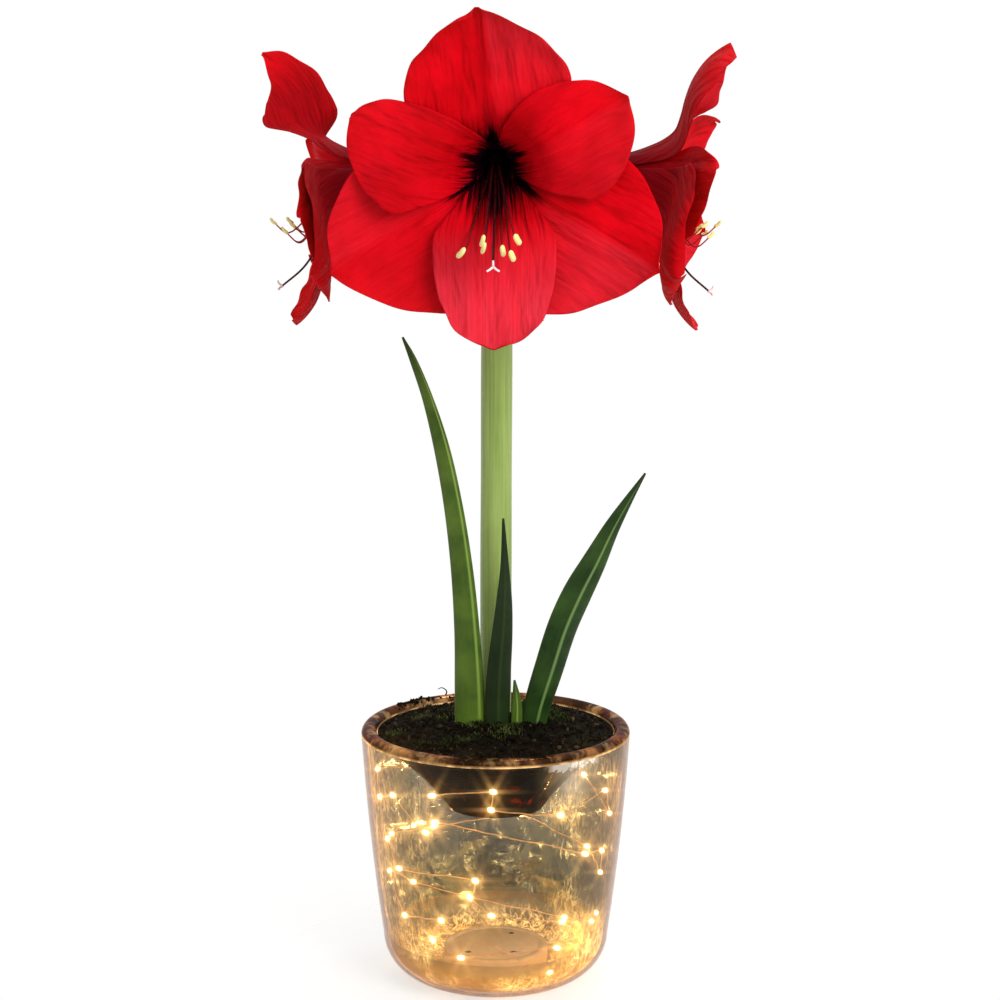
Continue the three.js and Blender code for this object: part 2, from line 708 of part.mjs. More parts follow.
// Six filaments lie low in the throat and turn up at their anthers; the longer style passes under them.
function stamenGeometry({ tips, sag, style }) {
  const plug = [[0, PLUG_START], [PLUG_RADIUS - 0.4, PLUG_START], [PLUG_RADIUS, PLUG_END], [0, PLUG_END]];
  const solids = [solidOf(revolve(plug, 8))];
  for (const [i, [x, y, z]] of tips.entries()) {
    const angle = (2 * PI * (i + 0.5)) / tips.length;
    const [side, rise] = [Math.sin(angle), Math.cos(angle)];
    const points = [
      [2 * side, 2 * rise, PLUG_END - PLUG_ROOT],
      [2.4 * side, -2 + 2 * rise, 18],
      [mix(2.4 * side, x, 0.25), 0.33 * y + 2 * rise, 34],
      [mix(2.4 * side, x, 0.6), 0.72 * y + 1.5 * rise, 50],
      [mix(2.4 * side, x, 0.9), 1.03 * y - sag, z - 7],
      [x, y, z],
    ].map((point) => new THREE.Vector3(...point));
    solids.push(solidOf(bar(points, [FILAMENT_RADIUS, FILAMENT_RADIUS * 0.8], 3, 6)));
    const anther = new THREE.OctahedronGeometry(ANTHER_RADIUS, 0);
    anther.scale(1, ANTHER_LENGTH / 2 / ANTHER_RADIUS, 1);
    anther.rotateZ(-0.035 * x).rotateX(0.7).translate(x, y + 1, z);
    solids.push(solidOf(anther));
  }
  const route = [[0, 0, PLUG_END - PLUG_ROOT], [0, -3, 20], [0, -11, 36], ...style];
  const rod = route.map((point) => new THREE.Vector3(...point));
  solids.push(solidOf(bar(rod, [FILAMENT_RADIUS * 1.1, FILAMENT_RADIUS], 3, 5)));
  const stigma = rod.at(-1);
  for (let i = 0; i < 3; i++) {
    const angle = (2 * PI * i) / 3;
    const [x, y] = [STIGMA_REACH * Math.sin(angle), STIGMA_REACH * Math.cos(angle)];
    const lobe = stigma.clone().add(new THREE.Vector3(x, y, 2));
    const foot = stigma.clone().add(new THREE.Vector3(0, 0, -0.8));
    solids.push(solidOf(bar([foot, lobe], [FILAMENT_RADIUS, FILAMENT_RADIUS * 0.7], 3, 1)));
  }
  return geometryOf(fuse(solids));
}

// The pedicel stands on the scape's top, arches out and thickens to the ovary behind the tube.
function pedicelGeometry({ height, nod, size }) {
  const base = new THREE.Vector3(0, PEDICEL_OFFSET, SCAPE_TOP + TOUCH_GAP);
  const along = (distance) => {
    const angle = radians(nod);
    return new THREE.Vector3(0, distance * Math.cos(angle), height - distance * Math.sin(angle));
  };
  const points = [
    base,
    base.clone().add(new THREE.Vector3(0, 0.3, 7)),
    new THREE.Vector3(0, PEDICEL_OFFSET + 5, mix(base.z, along(20).z, 0.66)),
    along(24),
    along(36),
    along(TUBE_START - TOUCH_GAP),
  ];
  const thick = OVARY_RADIUS * size;
  const radii = [PEDICEL_RADIUS, PEDICEL_RADIUS, 3, 3, 3, 3.2, thick, thick, thick * 0.88];
  return bar(points, radii, 8, 8);
}

function bloom(name) {
  const data = BLOOMS[name];
  const group = new THREE.Group();
  group.rotation.z = radians(180 + data.bearing);
  group.add(part("pedicel_" + name, pedicelGeometry(data), SCAPE_GREEN));
  const flower = new THREE.Group();
  const nod = radians(data.nod);
  const away = new THREE.Vector3(0, Math.cos(nod), -Math.sin(nod));
  const up = new THREE.Vector3(0, Math.sin(nod), Math.cos(nod));
  const right = new THREE.Vector3().crossVectors(up, away);
  flower.quaternion.setFromRotationMatrix(new THREE.Matrix4().makeBasis(right, up, away));
  flower.position.copy(away).multiplyScalar(TUBE_START);
  flower.position.z += data.height;
  flower.scale.setScalar(data.size);
  flower.add(part("perianth_" + name, perianthGeometry(data), PETAL_RED));
  flower.add(part("stamens_" + name, stamenGeometry(STAMENS[name]), STAMEN_RED));
  group.add(flower);
  return group;
}

// ---------------------------------------------------------------- the whole plant in its pot

const group = new THREE.Group();
group.add(glassVessel(), batteryCase(), batteryCover());
for (const number of [1, 2, 3]) group.add(batteryCell(number));
group.add(lightString(), soil(), bulb());
group.add(part("scape", scapeGeometry(0), SCAPE_GREEN));
for (const name of Object.keys(LEAVES)) group.add(leaf(name));
for (const name of Object.keys(BRACTS)) group.add(spatheBract(name));
for (const name of Object.keys(BLOOMS)) group.add(bloom(name));

export default group;
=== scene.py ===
"""A flowering amaryllis in a double-walled glass pot with a light string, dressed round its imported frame.

Shapes are worked out in millimetres in the frame's own axes, +Z up with the leading bloom towards -Y,
and turned into metres where a mesh is made. Materials measure in metres.
"""

import math

import bpy
import numpy as np
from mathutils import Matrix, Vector


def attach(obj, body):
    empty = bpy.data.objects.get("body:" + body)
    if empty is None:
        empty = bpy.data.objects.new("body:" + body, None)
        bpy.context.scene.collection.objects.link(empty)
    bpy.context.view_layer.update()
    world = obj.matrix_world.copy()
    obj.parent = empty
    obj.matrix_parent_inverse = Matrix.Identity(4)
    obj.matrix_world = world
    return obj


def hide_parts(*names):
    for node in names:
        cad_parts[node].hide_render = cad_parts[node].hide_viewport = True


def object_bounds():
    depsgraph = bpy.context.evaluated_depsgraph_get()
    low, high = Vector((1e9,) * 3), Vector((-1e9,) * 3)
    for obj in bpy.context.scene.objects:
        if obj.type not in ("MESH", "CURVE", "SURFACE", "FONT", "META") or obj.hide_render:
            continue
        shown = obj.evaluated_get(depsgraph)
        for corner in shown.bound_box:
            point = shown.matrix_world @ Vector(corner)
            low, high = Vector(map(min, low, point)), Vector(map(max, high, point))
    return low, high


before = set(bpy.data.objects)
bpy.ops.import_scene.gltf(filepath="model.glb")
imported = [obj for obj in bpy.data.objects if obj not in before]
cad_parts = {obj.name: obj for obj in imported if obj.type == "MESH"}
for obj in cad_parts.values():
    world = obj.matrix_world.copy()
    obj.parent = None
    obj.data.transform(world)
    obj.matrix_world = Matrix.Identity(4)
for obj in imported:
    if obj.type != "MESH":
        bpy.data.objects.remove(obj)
CAD_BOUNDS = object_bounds()

MM = 0.001
rng = np.random.default_rng(5)

# ---------------------------------------------------------------- driving dimensions, mm and degrees

# Pot
POT_HEIGHT = 143.5
POT_RADIUS = 75.0
POT_WALL = 2.6
LIP_RADIUS = 4.4
LIP_CENTRE = (POT_RADIUS - LIP_RADIUS, POT_HEIGHT - LIP_RADIUS)
FOOT_RADIUS = 39.0
FOOT_RING_RADIUS = 34.4
FOOT_RECESS = 2.6
BASE_CORNER_RADIUS = 24.5
BASE_THICKNESS = 6.2
BASE_HOLE_RADIUS = 29.8
BOWL_FLOOR = (25.0, 98.6)
WALL_FOOT = (FOOT_RADIUS + BASE_CORNER_RADIUS, BASE_CORNER_RADIUS)
OUTER_WALL = (WALL_FOOT, (71.5, 80.0), (POT_RADIUS, LIP_CENTRE[1]))
BOWL = (BOWL_FLOOR, (40.0, 121.0), (POT_RADIUS - 2 * LIP_RADIUS, LIP_CENTRE[1]))

# Battery case
CASE_RADIUS = 29.4
CASE_TOP = 15.0
CASE_WALL = 1.5
CASE_BOTTOM = 1.0
CASE_FLANGE_RADIUS = 32.9
CASE_FLANGE_THICKNESS = 1.3
CASE_GROOVE = [(4.0, 0), (4.3, 0.6), (5.4, 0.6), (5.8, 0.15)]  # in from its side, down from its top
CASE_WELLS = [(35, 17.5, 1.9), (-48, 21, 1.7), (150, 18, 1.7)]  # bearing, distance from the axis, bore
WELL_RIM = [(0.1, 0.3), (0.5, 0.35), (0.9, 0.0)]  # out from its bore, up

# Light string: bearing from the front towards +X, radius and height
WIRE_RADIUS = 0.32
WIRE_WANDER = 0.9
LAMP_RADIUS = 1.15
LAMP_HALF_LENGTH = 1.9
LAMP_INSET = 3.2  # from each bead to the light that it throws
LAMP_WATTS = 0.0045
LAMP_FULL_HEIGHT = 45.0  # lower lamps are dimmed, so that they don't bleach the base
WIRE_LEAD = [(0, 8, 16), (10, 20, 18.5), (22, 38, 17.5)]
LAMPS = [
    (35, 52, 14), (37, 56, 29), (-20, 55, 26), (-37, 57, 34), (-30, 59, 47), (-60, 58, 42),
    (-84, 60, 60), (-124, 58, 40), (-164, 56, 23), (132, 54, 17), (101, 56, 24), (84, 57, 35),
    (39, 58, 44), (-2, 60, 53), (-13, 61, 63), (-10, 62, 73), (-59, 62, 70), (-72, 63, 83),
    (-106, 62, 74), (-143, 61, 68), (166, 61, 72), (120, 61, 62), (73, 61, 63), (72, 62, 76),
    (51, 63, 81), (-30, 65, 104), (-36, 64, 97), (-60, 65, 112), (-85, 65, 103), (-88, 66, 118),
    (-140, 65, 104), (172, 65, 112), (128, 65, 102), (86, 64, 93), (66, 66, 113), (32, 66, 108),
    (-2, 66, 114), (-1, 66, 124), (-31, 66, 119),
]

# Soil
SOIL_CROWN = 9.0
SOIL_CLUMP = 1.5
SOIL_GAP = 0.5
SOIL_RINGS = 24
CRUMBS = 2400
SPILLED_CRUMBS = 46
MOSS_PATCHES = 34
MOSS_BLADES = 22  # in each mm of a patch's spread

# Scape and leaves: [x, y, z, half width] along each midrib
SCAPE_RADIUS = 8.9
SCAPE_TOP_RADIUS = 8.6
SCAPE_TOP = 420.0
SCAPE_LEAN = 1.0
LEAF_FOOT = 139.3
LEAVES = {
    "left": {
        "cup": 0.3, "facing": -6, "fold": 0.62, "look": "leaf_green", "skin": "leaf_green",
        "midrib": [
            (-14.4, -13, LEAF_FOOT, 8.4), (-14.7, -14, 167, 8.2), (-15.9, -15, 199, 7),
            (-18.6, -15, 234, 6), (-23, -14, 268, 5.2), (-29.2, -12, 300, 4.3), (-37, -10, 328, 2.9),
            (-44.9, -8, 349, 1.9), (-50.2, -7, 360.5, 0.6),
        ],
    },
    "middle": {
        "cup": 0.3, "facing": 8, "fold": 0.0, "look": "dark_leaf_green", "skin": "dark_leaf_green",
        "midrib": [
            (1.4, -14, LEAF_FOOT, 6.3), (1.4, -16, 158, 6.8), (2.3, -18, 179, 6.6), (3.8, -20, 198, 5.7),
            (4.9, -21, 217, 4.4), (5.1, -21, 238, 2.3), (4.2, -20, 263.5, 0.6),
        ],
    },
    "right": {
        "cup": 0.3, "facing": 14, "fold": 0.12, "look": "leaf_green", "skin": "deep_leaf_green",
        "midrib": [
            (20.4, -10, LEAF_FOOT, 7.1), (23.4, -12, 155, 7.6), (30, -15, 178, 8.4), (37.3, -17, 202, 8.7),
            (45.2, -19, 221, 8.3), (53.9, -20, 238.5, 7), (63.6, -20, 258.5, 4.6), (73, -20, 275, 2.3),
            (81, -19, 288, 0.6),
        ],
    },
    "young": {
        "cup": 0.2, "facing": 10, "fold": 0.0, "look": "leaf_green", "skin": "leaf_green",
        "midrib": [
            (11.6, -14.5, LEAF_FOOT, 2.5), (11.8, -15, 149, 3.1), (11.8, -15.5, 160, 2.6),
            (10.4, -16, 172.5, 0.6),
        ],
    },
}

# Bracts
BRACT_TOP = SCAPE_TOP - 3
BRACTS = {
    "left": {"bearing": -62, "length": 52, "half_width": 8, "lean": 12},
    "right": {"bearing": 128, "length": 50, "half_width": 7, "lean": 24},
}

# Blooms: each axis leaves the scape's at a height, drops by its nod and carries the tube from TUBE_START
PEDICEL_OFFSET = 4.9
PEDICEL_RADIUS = 3.1
PEDICEL_SIDES = 36
OVARY_RADIUS = 5.6
TUBE_START = 48.0
BLOOMS = {
    "front": {
        "bearing": 0, "nod": 7, "height": 461.5, "size": 1.08, "openness": 1, "seed": 3, "changes": {},
    },
    "right": {
        "bearing": 90, "nod": 8.6, "height": 456.2, "size": 1, "openness": 0, "seed": 11,
        "changes": {
            "top": {"twist": 12, "reach": 107, "half_widths": (34, 37), "cup": 13, "open": 1},
            "lower_right": {"angle": 110, "cup": 4, "open": -5},
            "lower_left": {"cup": 12, "open": 17},
            "bottom": {"painted_sheen": (0.2, 0.2)},
            "upper_right": {"angle": 50, "half_widths": (16, 22), "cup": 4, "open": -9},
            "upper_left": {"angle": -80, "cup": 2, "open": -2},
        },
    },
    "back": {
        "bearing": 180, "nod": 8, "height": 454, "size": 1.03, "openness": 0.8, "seed": 19, "changes": {},
    },
    "left": {
        "bearing": 270, "nod": 7, "height": 454, "size": 0.97, "openness": 0, "seed": 27,
        "changes": {
            "top": {
                "twist": 72, "twist_over": (46, 63), "fold": 3, "reach": 107, "half_widths": (12, 24.5),
                "widest": 0.5, "tapers": (0.8, 1.5), "cup": 0, "open": -4, "painted_crease_shade": 0.8,
            },
            "lower_right": {"half_widths": (34, 40), "cup": 3, "open": 17},
            "lower_left": {"open": 4},
            "bottom": {"twist": 8, "cup": 5, "open": 1.5, "painted_sheen": (0, 0)},
            "upper_right": {"angle": 104, "open": 5},
            "upper_left": {"open": 5},
        },
    },
}

# Perianth, in its own frame: Z along the bloom's axis from the tube's start, Y up, X to its right
TRUMPET = [
    (0, 5.6), (8, 7.6), (16, 10.2), (24, 13.6), (32, 17.6), (40, 22.6), (45.5, 28.5), (47.5, 37),
    (48.5, 46), (51, 56), (56, 65.5), (63, 73), (71, 78.5), (80, 82), (90, 84),
]
TEPAL_START = 14.0
TEPAL_FOOT_HALF_WIDTH = 7.0
TEPAL_THICKNESS = 0.9
TEPAL_GRID = (72, 41)
LAYER_GAP = 2.2
LAYER_SPREAD = 3.0
TWIST_OVER = (45, 75)
RUFFLE = 1.6
CRINKLE = 0.8
KEEL = 0.9
RIPPLE = 0.16
FURROW = 0.5
OUTER, INNER = 0, 1
# pink, the painted sheen: how far each half of the inside pales, a painted highlight; crease, painted shade
# in the fold: how dark the midline is; dark: how far up it is black
TEPALS = {
    "top": {
        "layer": OUTER, "angle": -6, "reach": 105.6, "half_widths": (34.5, 36.5), "widest": 0.57,
        "tapers": (0.6, 0.9), "cup": 5, "open": 0, "painted_sheen": (0.0, 0.3), "painted_crease_shade": 0.5, "dark": 0.05,
    },
    "lower_right": {
        "layer": OUTER, "angle": 120, "reach": 110, "half_widths": (34, 44), "widest": 0.52,
        "tapers": (0.9, 0.9), "cup": 2, "open": 12, "painted_sheen": (0.0, 0.3),
    },
    "lower_left": {
        "layer": OUTER, "angle": -120, "reach": 110, "half_widths": (44, 33), "widest": 0.52,
        "tapers": (0.9, 0.9), "cup": 2, "open": 12, "painted_sheen": (0.05, 0.15),
    },
    "bottom": {
        "layer": INNER, "angle": 180, "reach": 111.8, "half_widths": (25.5, 26), "widest": 0.58,
        "tapers": (0.36, 0.36), "cup": 1, "open": 2, "painted_sheen": (0.7, 0.7),
    },
    "upper_right": {
        "layer": INNER, "angle": 59.5, "reach": 93, "half_widths": (20, 30), "widest": 0.6,
        "tapers": (0.75, 0.75), "cup": 1, "open": 7, "painted_sheen": (0.0, 0.1),
    },
    "upper_left": {
        "layer": INNER, "angle": -67, "reach": 95, "half_widths": (32, 13), "widest": 0.6,
        "tapers": (0.75, 0.5), "cup": 1, "open": 7, "painted_sheen": (0.05, 0.05),
    },
}
CUP_SEGMENTS = 48
CUP_OUTSIDE = 5  # rings of the cup's profile that lie outside, after the point on its axis
CUP_PROFILE = [
    (0, 0), (5.2, 0), (6, 3), (7.4, 7), (9.6, 13), (12.4, 20), (8.2, 20), (6.2, 12), (4, 5), (3.2, 4.2),
    (0, 4.2),
]

# Stamens and style, in the perianth's frame: where filaments end, their sag before that, the style's route
PLUG_END = 8.0
FILAMENT_RADIUS = 0.62
FILAMENT_SIDES = 10
ANTHER_LENGTH = 7.2
ANTHER_RADIUS = 1.45
ANTHER_BOW = np.array([0, -0.077, 0.11])
STIGMA_LOBE = (3.2, 2.0)  # out and forward
OPEN_STAMENS = {
    "tips": [
        (10.2, -27.2, 69), (7.8, -34.3, 71), (3.6, -32.5, 68), (-5.2, -31.5, 66), (-15.4, -33.5, 67),
        (-5.6, -27.5, 70),
    ],
    "sag": 0,
    "anther": 1.0,
    "style": [(-0.2, -17, 50), (-0.5, -26, 65), (-0.8, -37, 80)],
}
CURLED_STAMENS = {
    "tips": [(6, -18, 76), (8, -24, 70), (3, -21, 66), (-3, -23, 65), (-8, -24, 72), (-6, -19, 68)],
    "sag": 6,
    "anther": 0.7,
    "style": [(0, -22, 48), (0, -36, 56), (0, -45, 64), (0, -53.5, 77)],
}
STAMENS = {"front": OPEN_STAMENS, "right": CURLED_STAMENS, "back": OPEN_STAMENS, "left": CURLED_STAMENS}

# Camera, placed as the photographer stood
CAMERA_PLACE = (2.45, -1200.0, 469.5)
CAMERA_PITCH = 9.43
CAMERA_LENS = 79.67
SENSOR_WIDTH = 36.0


# ---------------------------------------------------------------- numbers and curves


def mix(a, b, share):
    return a + (b - a) * share


def ease(value, start, end):
    share = np.clip((np.asarray(value, float) - start) / (end - start), 0, 1)
    return share * share * (3 - 2 * share)


def polar(bearing, radius, height):
    """A point by its bearing from the front (-Y) towards +X, its distance from the axis and its height."""
    angle = np.radians(bearing)
    return np.stack(np.broadcast_arrays(radius * np.sin(angle), -radius * np.cos(angle), height), -1)


def around(count):
    """Angles evenly round a circle."""
    return np.linspace(0, 2 * np.pi, count, endpoint=False)


def unit(vectors):
    return vectors / np.maximum(np.linalg.norm(vectors, axis=-1, keepdims=True), 1e-9)


def drawer(seed):
    """The same repeatable draw between 0 and 1 as the solids use."""
    state = seed * 2654435761 + 12345

    def draw():
        nonlocal state
        state = (state * 1664525 + 1013904223) & 0xFFFFFFFF
        return state / 4294967296

    return draw


def hermite(p1, p2, m1, m2, t):
    """A cubic from p1 to p2 that leaves and arrives with the slopes m1 and m2."""
    return p1 + m1 * t + (3 * (p2 - p1) - 2 * m1 - m2) * t**2 + (2 * (p1 - p2) + m1 + m2) * t**3


def spline(points, shares):
    """Places on a centripetal Catmull-Rom curve, its points spread evenly over 0 to 1."""
    points = np.asarray(points, float)
    padded = np.vstack([2 * points[0] - points[1], points, 2 * points[-1] - points[-2]])
    place = np.clip(np.asarray(shares, float), 0, 1) * (len(points) - 1)
    first = np.minimum(np.floor(place).astype(int), len(points) - 2)
    p0, p1, p2, p3 = (padded[first + k] for k in range(4))
    d0, d1, d2 = (np.linalg.norm(b - a, axis=1)[:, None] ** 0.5 for a, b in ((p0, p1), (p1, p2), (p2, p3)))
    m1 = ((p1 - p0) / d0 - (p2 - p0) / (d0 + d1) + (p2 - p1) / d1) * d1
    m2 = ((p2 - p1) / d1 - (p3 - p1) / (d1 + d2) + (p3 - p2) / d2) * d1
    return hermite(p1, p2, m1, m2, (place - first)[:, None])


def bezier(start, belly, end, count):
    """A quadratic curve in the radius and height plane, with its left-hand normals."""
    t = np.linspace(0, 1, count + 1)[:, None]
    start, belly, end = (np.array(point, float) for point in (start, belly, end))
    places = (1 - t) ** 2 * start + 2 * t * (1 - t) * belly + t**2 * end
    along = unit(2 * (1 - t) * (belly - start) + 2 * t * (end - belly))
    return places, np.stack([-along[:, 1], along[:, 0]], 1)


def arc(centre, radius, start, end, count):
    angles = np.radians(np.linspace(start, end, count + 1))
    return np.stack([centre[0] + radius * np.cos(angles), centre[1] + radius * np.sin(angles)], 1)


def noise(places, scale, seed=0, octaves=3):
    """Smooth repeatable noise round 0 at places (n, 3), from sums of turned sine waves."""
    draw = np.random.default_rng(seed)
    total = np.zeros(len(places))
    for octave in range(octaves):
        for _ in range(5):
            way = unit(draw.normal(size=3)) * scale * 2**octave * draw.uniform(0.7, 1.3)
            warp = np.sin(places @ unit(draw.normal(size=3)) * scale * 2**octave + draw.uniform(0, 6.3))
            total += np.sin(places @ way + 1.5 * warp + draw.uniform(0, 6.3)) / 2**octave
    return total / 5


# ---------------------------------------------------------------- meshes


class Body:
    """Gathers the faces of one piece, with what its materials read at each vertex."""

    def __init__(self):
        self.vertices, self.faces, self.looks, self.grown = [], [], [], []
        self.count = 0

    def add(self, vertices, faces, look=0, grown=(0, 0, 0)):
        """Adds a closed shape: look is a material's number or one a face, grown a row or one a vertex."""
        self.vertices.append(np.asarray(vertices, float))
        self.grown.append(np.broadcast_to(np.asarray(grown, float), (len(vertices), 3)))
        self.faces += [tuple(self.count + corner for corner in face) for face in faces]
        self.looks += [look] * len(faces) if np.isscalar(look) else list(look)
        self.count += len(vertices)
        return self

    def make(self, name, materials, slot, *nodes):
        """Builds the piece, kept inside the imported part's box, in place of the named nodes."""
        mesh = bpy.data.meshes.new(name)
        mesh.from_pydata(np.clip(np.vstack(self.vertices) * MM, *CAD_BOUNDS).tolist(), [], self.faces)
        mesh.polygons.foreach_set("use_smooth", [True] * len(self.faces))
        mesh.polygons.foreach_set("material_index", self.looks)
        values = mesh.attributes.new("grown", "FLOAT_VECTOR", "POINT")
        values.data.foreach_set("vector", np.vstack(self.grown).astype(np.float32).ravel())
        for material in materials:
            mesh.materials.append(material)
        mesh.validate()
        piece = placed(name, mesh)
        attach(piece, "root")
        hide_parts(*nodes)


def placed(name, data, place=(0, 0, 0), turn=(0, 0, 0)):
    """A new object in the scene."""
    thing = bpy.data.objects.new(name, data)
    thing.location, thing.rotation_euler = place, turn
    bpy.context.scene.collection.objects.link(thing)
    return thing


def grid_faces(rows, columns, wrap=False):
    """Quads over a grid of vertices; wrap joins the last column to the first."""
    faces = []
    for i in range(rows - 1):
        for j in range(columns if wrap else columns - 1):
            k = (j + 1) % columns
            faces.append((i * columns + j, (i + 1) * columns + j, (i + 1) * columns + k, i * columns + k))
    return faces


def shell(middle, thickness):
    """A closed sheet round a grid of points (rows, columns, 3), thickness thick at each of them."""
    rows, columns = middle.shape[:2]
    normal = unit(np.cross(np.gradient(middle, axis=0), np.gradient(middle, axis=1)))
    half = np.broadcast_to(thickness, (rows, columns))[..., None] / 2
    count = rows * columns
    quads = grid_faces(rows, columns)
    faces = quads + [tuple(count + corner for corner in reversed(face)) for face in quads]
    rim = list(range(columns - 1))
    rim += [i * columns + columns - 1 for i in range(rows - 1)]
    rim += [(rows - 1) * columns + j for j in range(columns - 1, 0, -1)]
    rim += [i * columns for i in range(rows - 1, 0, -1)]
    faces += [(here, there, count + there, count + here) for here, there in zip(rim, rim[1:] + rim[:1])]
    return np.vstack([(middle + normal * side).reshape(-1, 3) for side in (half, -half)]), faces


def stacked(rings, start, end):
    """A closed shape through rings of points (rings, sides, 3), ended by a point at each end."""
    count, sides = rings.shape[:2]
    last = (count - 1) * sides
    faces = [tuple(reversed(face)) for face in grid_faces(count, sides, wrap=True)]
    for k in range(sides):
        after = (k + 1) % sides
        faces += [(count * sides, after, k), (count * sides + 1, last + k, last + after)]
    return np.vstack([rings.reshape(-1, 3), start, end]), faces


def ring_values(along, sides, turn=0.0, own=0.0, ends=(0, 0)):
    """What materials read on a stacked shape: along and turn on its rings, own all over."""
    values = np.zeros((len(along) * sides + 2, 3))
    values[:-2, 0] = np.repeat(along, sides)
    values[-2:, 0] = ends
    values[:-2, 1] = np.tile(np.broadcast_to(turn, sides), len(along))
    values[:, 2] = own
    return values


def tube(path, radii, sides, squash=(1, 1)):
    """A closed bar along a path, with rounded ends; squash scales it along its normal and binormal."""
    path = np.asarray(path, float)
    radii = np.broadcast_to(radii, len(path))
    along = unit(np.gradient(path, axis=0))
    normal = np.array([0.31, 0.87, 0.39])
    angles = around(sides)[:, None]
    rings = []
    for place, tangent, radius in zip(path, along, radii):
        normal = unit(normal - tangent * normal.dot(tangent))
        ring = squash[0] * np.cos(angles) * normal + squash[1] * np.sin(angles) * np.cross(tangent, normal)
        rings.append(place + ring * radius)
    caps = along * radii[:, None] * 0.5
    return stacked(np.array(rings), path[0] - caps[0], path[-1] + caps[-1])


def lathe(profile, segments):
    """A solid of revolution round a (radius, height) profile, and the profile's step at each face."""
    profile = np.asarray(profile, float)
    angles = around(segments)
    vertices, rings = [], []
    for radius, height in profile:
        rings.append(len(vertices))
        if radius < 1e-6:
            vertices.append((0, 0, height))
        else:
            vertices += [(radius * np.cos(a), radius * np.sin(a), height) for a in angles]
    faces, bands = [], []
    for band in range(len(profile) - 1):
        low, high = rings[band], rings[band + 1]
        low_point, high_point = profile[band : band + 2, 0] < 1e-6
        if low_point and high_point:
            continue
        for k in range(segments):
            after = (k + 1) % segments
            if low_point:
                faces.append((low, high + after, high + k))
            elif high_point:
                faces.append((low + k, low + after, high))
            else:
                faces.append((low + k, low + after, high + after, high + k))
            bands.append(band)
    return np.array(vertices), faces, np.array(bands)


# ---------------------------------------------------------------- shader nodes


class Value:
    """A shader node's output, on which arithmetic adds Math nodes."""

    def __init__(self, socket):
        self.socket = socket
        self.tree = socket.id_data

    def math(self, operation, other=0.0):
        return put(self.tree, "Math", {0: self, 1: other}, operation=operation)

    def __add__(self, other):
        return self.math("ADD", other)

    def __sub__(self, other):
        return self.math("SUBTRACT", other)

    def __mul__(self, other):
        return self.math("MULTIPLY", other)

    def __rsub__(self, other):
        return put(self.tree, "Math", {0: other, 1: self}, operation="SUBTRACT")

    def __rtruediv__(self, other):
        return put(self.tree, "Math", {0: other, 1: self}, operation="DIVIDE")

    def __abs__(self):
        return self.math("ABSOLUTE")

    def clamped(self):
        self.socket.node.use_clamp = True
        return self

    def noise(self, scale, detail=3.0, roughness=0.55, distortion=0.0):
        inputs = {"Scale": scale, "Detail": detail, "Roughness": roughness, "Distortion": distortion}
        return put(self.tree, "TexNoise", {"Vector": self, **inputs})

    def stretched(self, scale, shift=(0, 0, 0)):
        return put(self.tree, "Mapping", {"Vector": self, "Scale": scale, "Location": shift})

    def split(self):
        node = put(self.tree, "SeparateXYZ", {"Vector": self}).socket.node
        return [Value(output) for output in node.outputs]

    def ramp(self, *stops):
        """A colour for each value: stops are (value, colour)."""
        ramped = put(self.tree, "ValToRGB", {"Fac": self})
        elements = ramped.socket.node.color_ramp.elements
        while len(elements) < len(stops):
            elements.new(0.5)
        for element, (place, shade) in zip(elements, stops):
            element.position, element.color = place, shade
        return ramped

    def grey(self, *stops):
        """A number for each value: stops are (value, number)."""
        return self.ramp(*[(place, (number, number, number, 1)) for place, number in stops])


def feed(socket, value):
    """Sets an input, or links it where the value is a node's."""
    if isinstance(value, Value):
        value.tree.links.new(value.socket, socket)
    else:
        socket.default_value = value


def put(tree, kind, inputs=None, output=0, **settings):
    """A new shader node, by the output that is wanted of it."""
    node = tree.nodes.new("ShaderNode" + kind)
    for key, value in settings.items():
        setattr(node, key, value)
    for key, value in (inputs or {}).items():
        feed(node.inputs[key], value)
    return Value(node.outputs[output])


def colour(red, green, blue):
    """A linear colour from the 0 to 255 values that a picture shows."""
    shares = (value / 255 for value in (red, green, blue))
    return (*(((v + 0.055) / 1.055) ** 2.4 if v > 10 / 255 else v / 12.92 for v in shares), 1)


def shades(*stops):
    """Ramp stops from (value, red, green, blue) as a picture shows them."""
    return [(stop[0], colour(*stop[1:])) for stop in stops]


def blend(share, first, second):
    """The first colour with a share of the second over it."""
    return put(share.tree, "Mix", {0: share, 6: first, 7: second}, output=2, data_type="RGBA")


def layered(base, *layers):
    """A colour with each (share, colour) laid over it in turn."""
    for share, shade in layers:
        base = blend(share, base, shade)
    return base


class Look:
    """A material in the making: its shader, and what its nodes read."""

    def __init__(self, name, **sockets):
        self.material = bpy.data.materials.new(name)
        self.material.use_nodes = True
        self.tree = self.material.node_tree
        self.shader = self.tree.nodes["Principled BSDF"]
        self.place = put(self.tree, "TexCoord", output="Object")
        self.set(**sockets)

    def set(self, **sockets):
        """Sets or links the shader's sockets, named with _ for a space."""
        for key, value in sockets.items():
            feed(self.shader.inputs[key.replace("_", " ")], value)

    def grown(self):
        """The three numbers that a piece carries at each vertex."""
        return put(self.tree, "Attribute", output="Vector", attribute_name="grown").split()

    def vector(self, x, y, z):
        return put(self.tree, "CombineXYZ", {"X": x, "Y": y, "Z": z})

    def bump(self, height, distance, strength):
        inputs = {"Height": height, "Distance": distance, "Strength": strength}
        self.set(Normal=put(self.tree, "Bump", inputs))

    def cover(self, share, clear, shader=None):
        """Shows the shader on a share of the surface, and what lies behind, tinted, through the rest."""
        behind = put(self.tree, "BsdfTransparent", {"Color": clear})
        shader = shader or Value(self.shader.outputs[0])
        mixed = put(self.tree, "MixShader", {0: share, 1: behind, 2: shader})
        feed(self.tree.nodes["Material Output"].inputs["Surface"], mixed)

    def done(self, base):
        self.set(Base_Color=base)
        return self.material


# ---------------------------------------------------------------- plant and soil materials


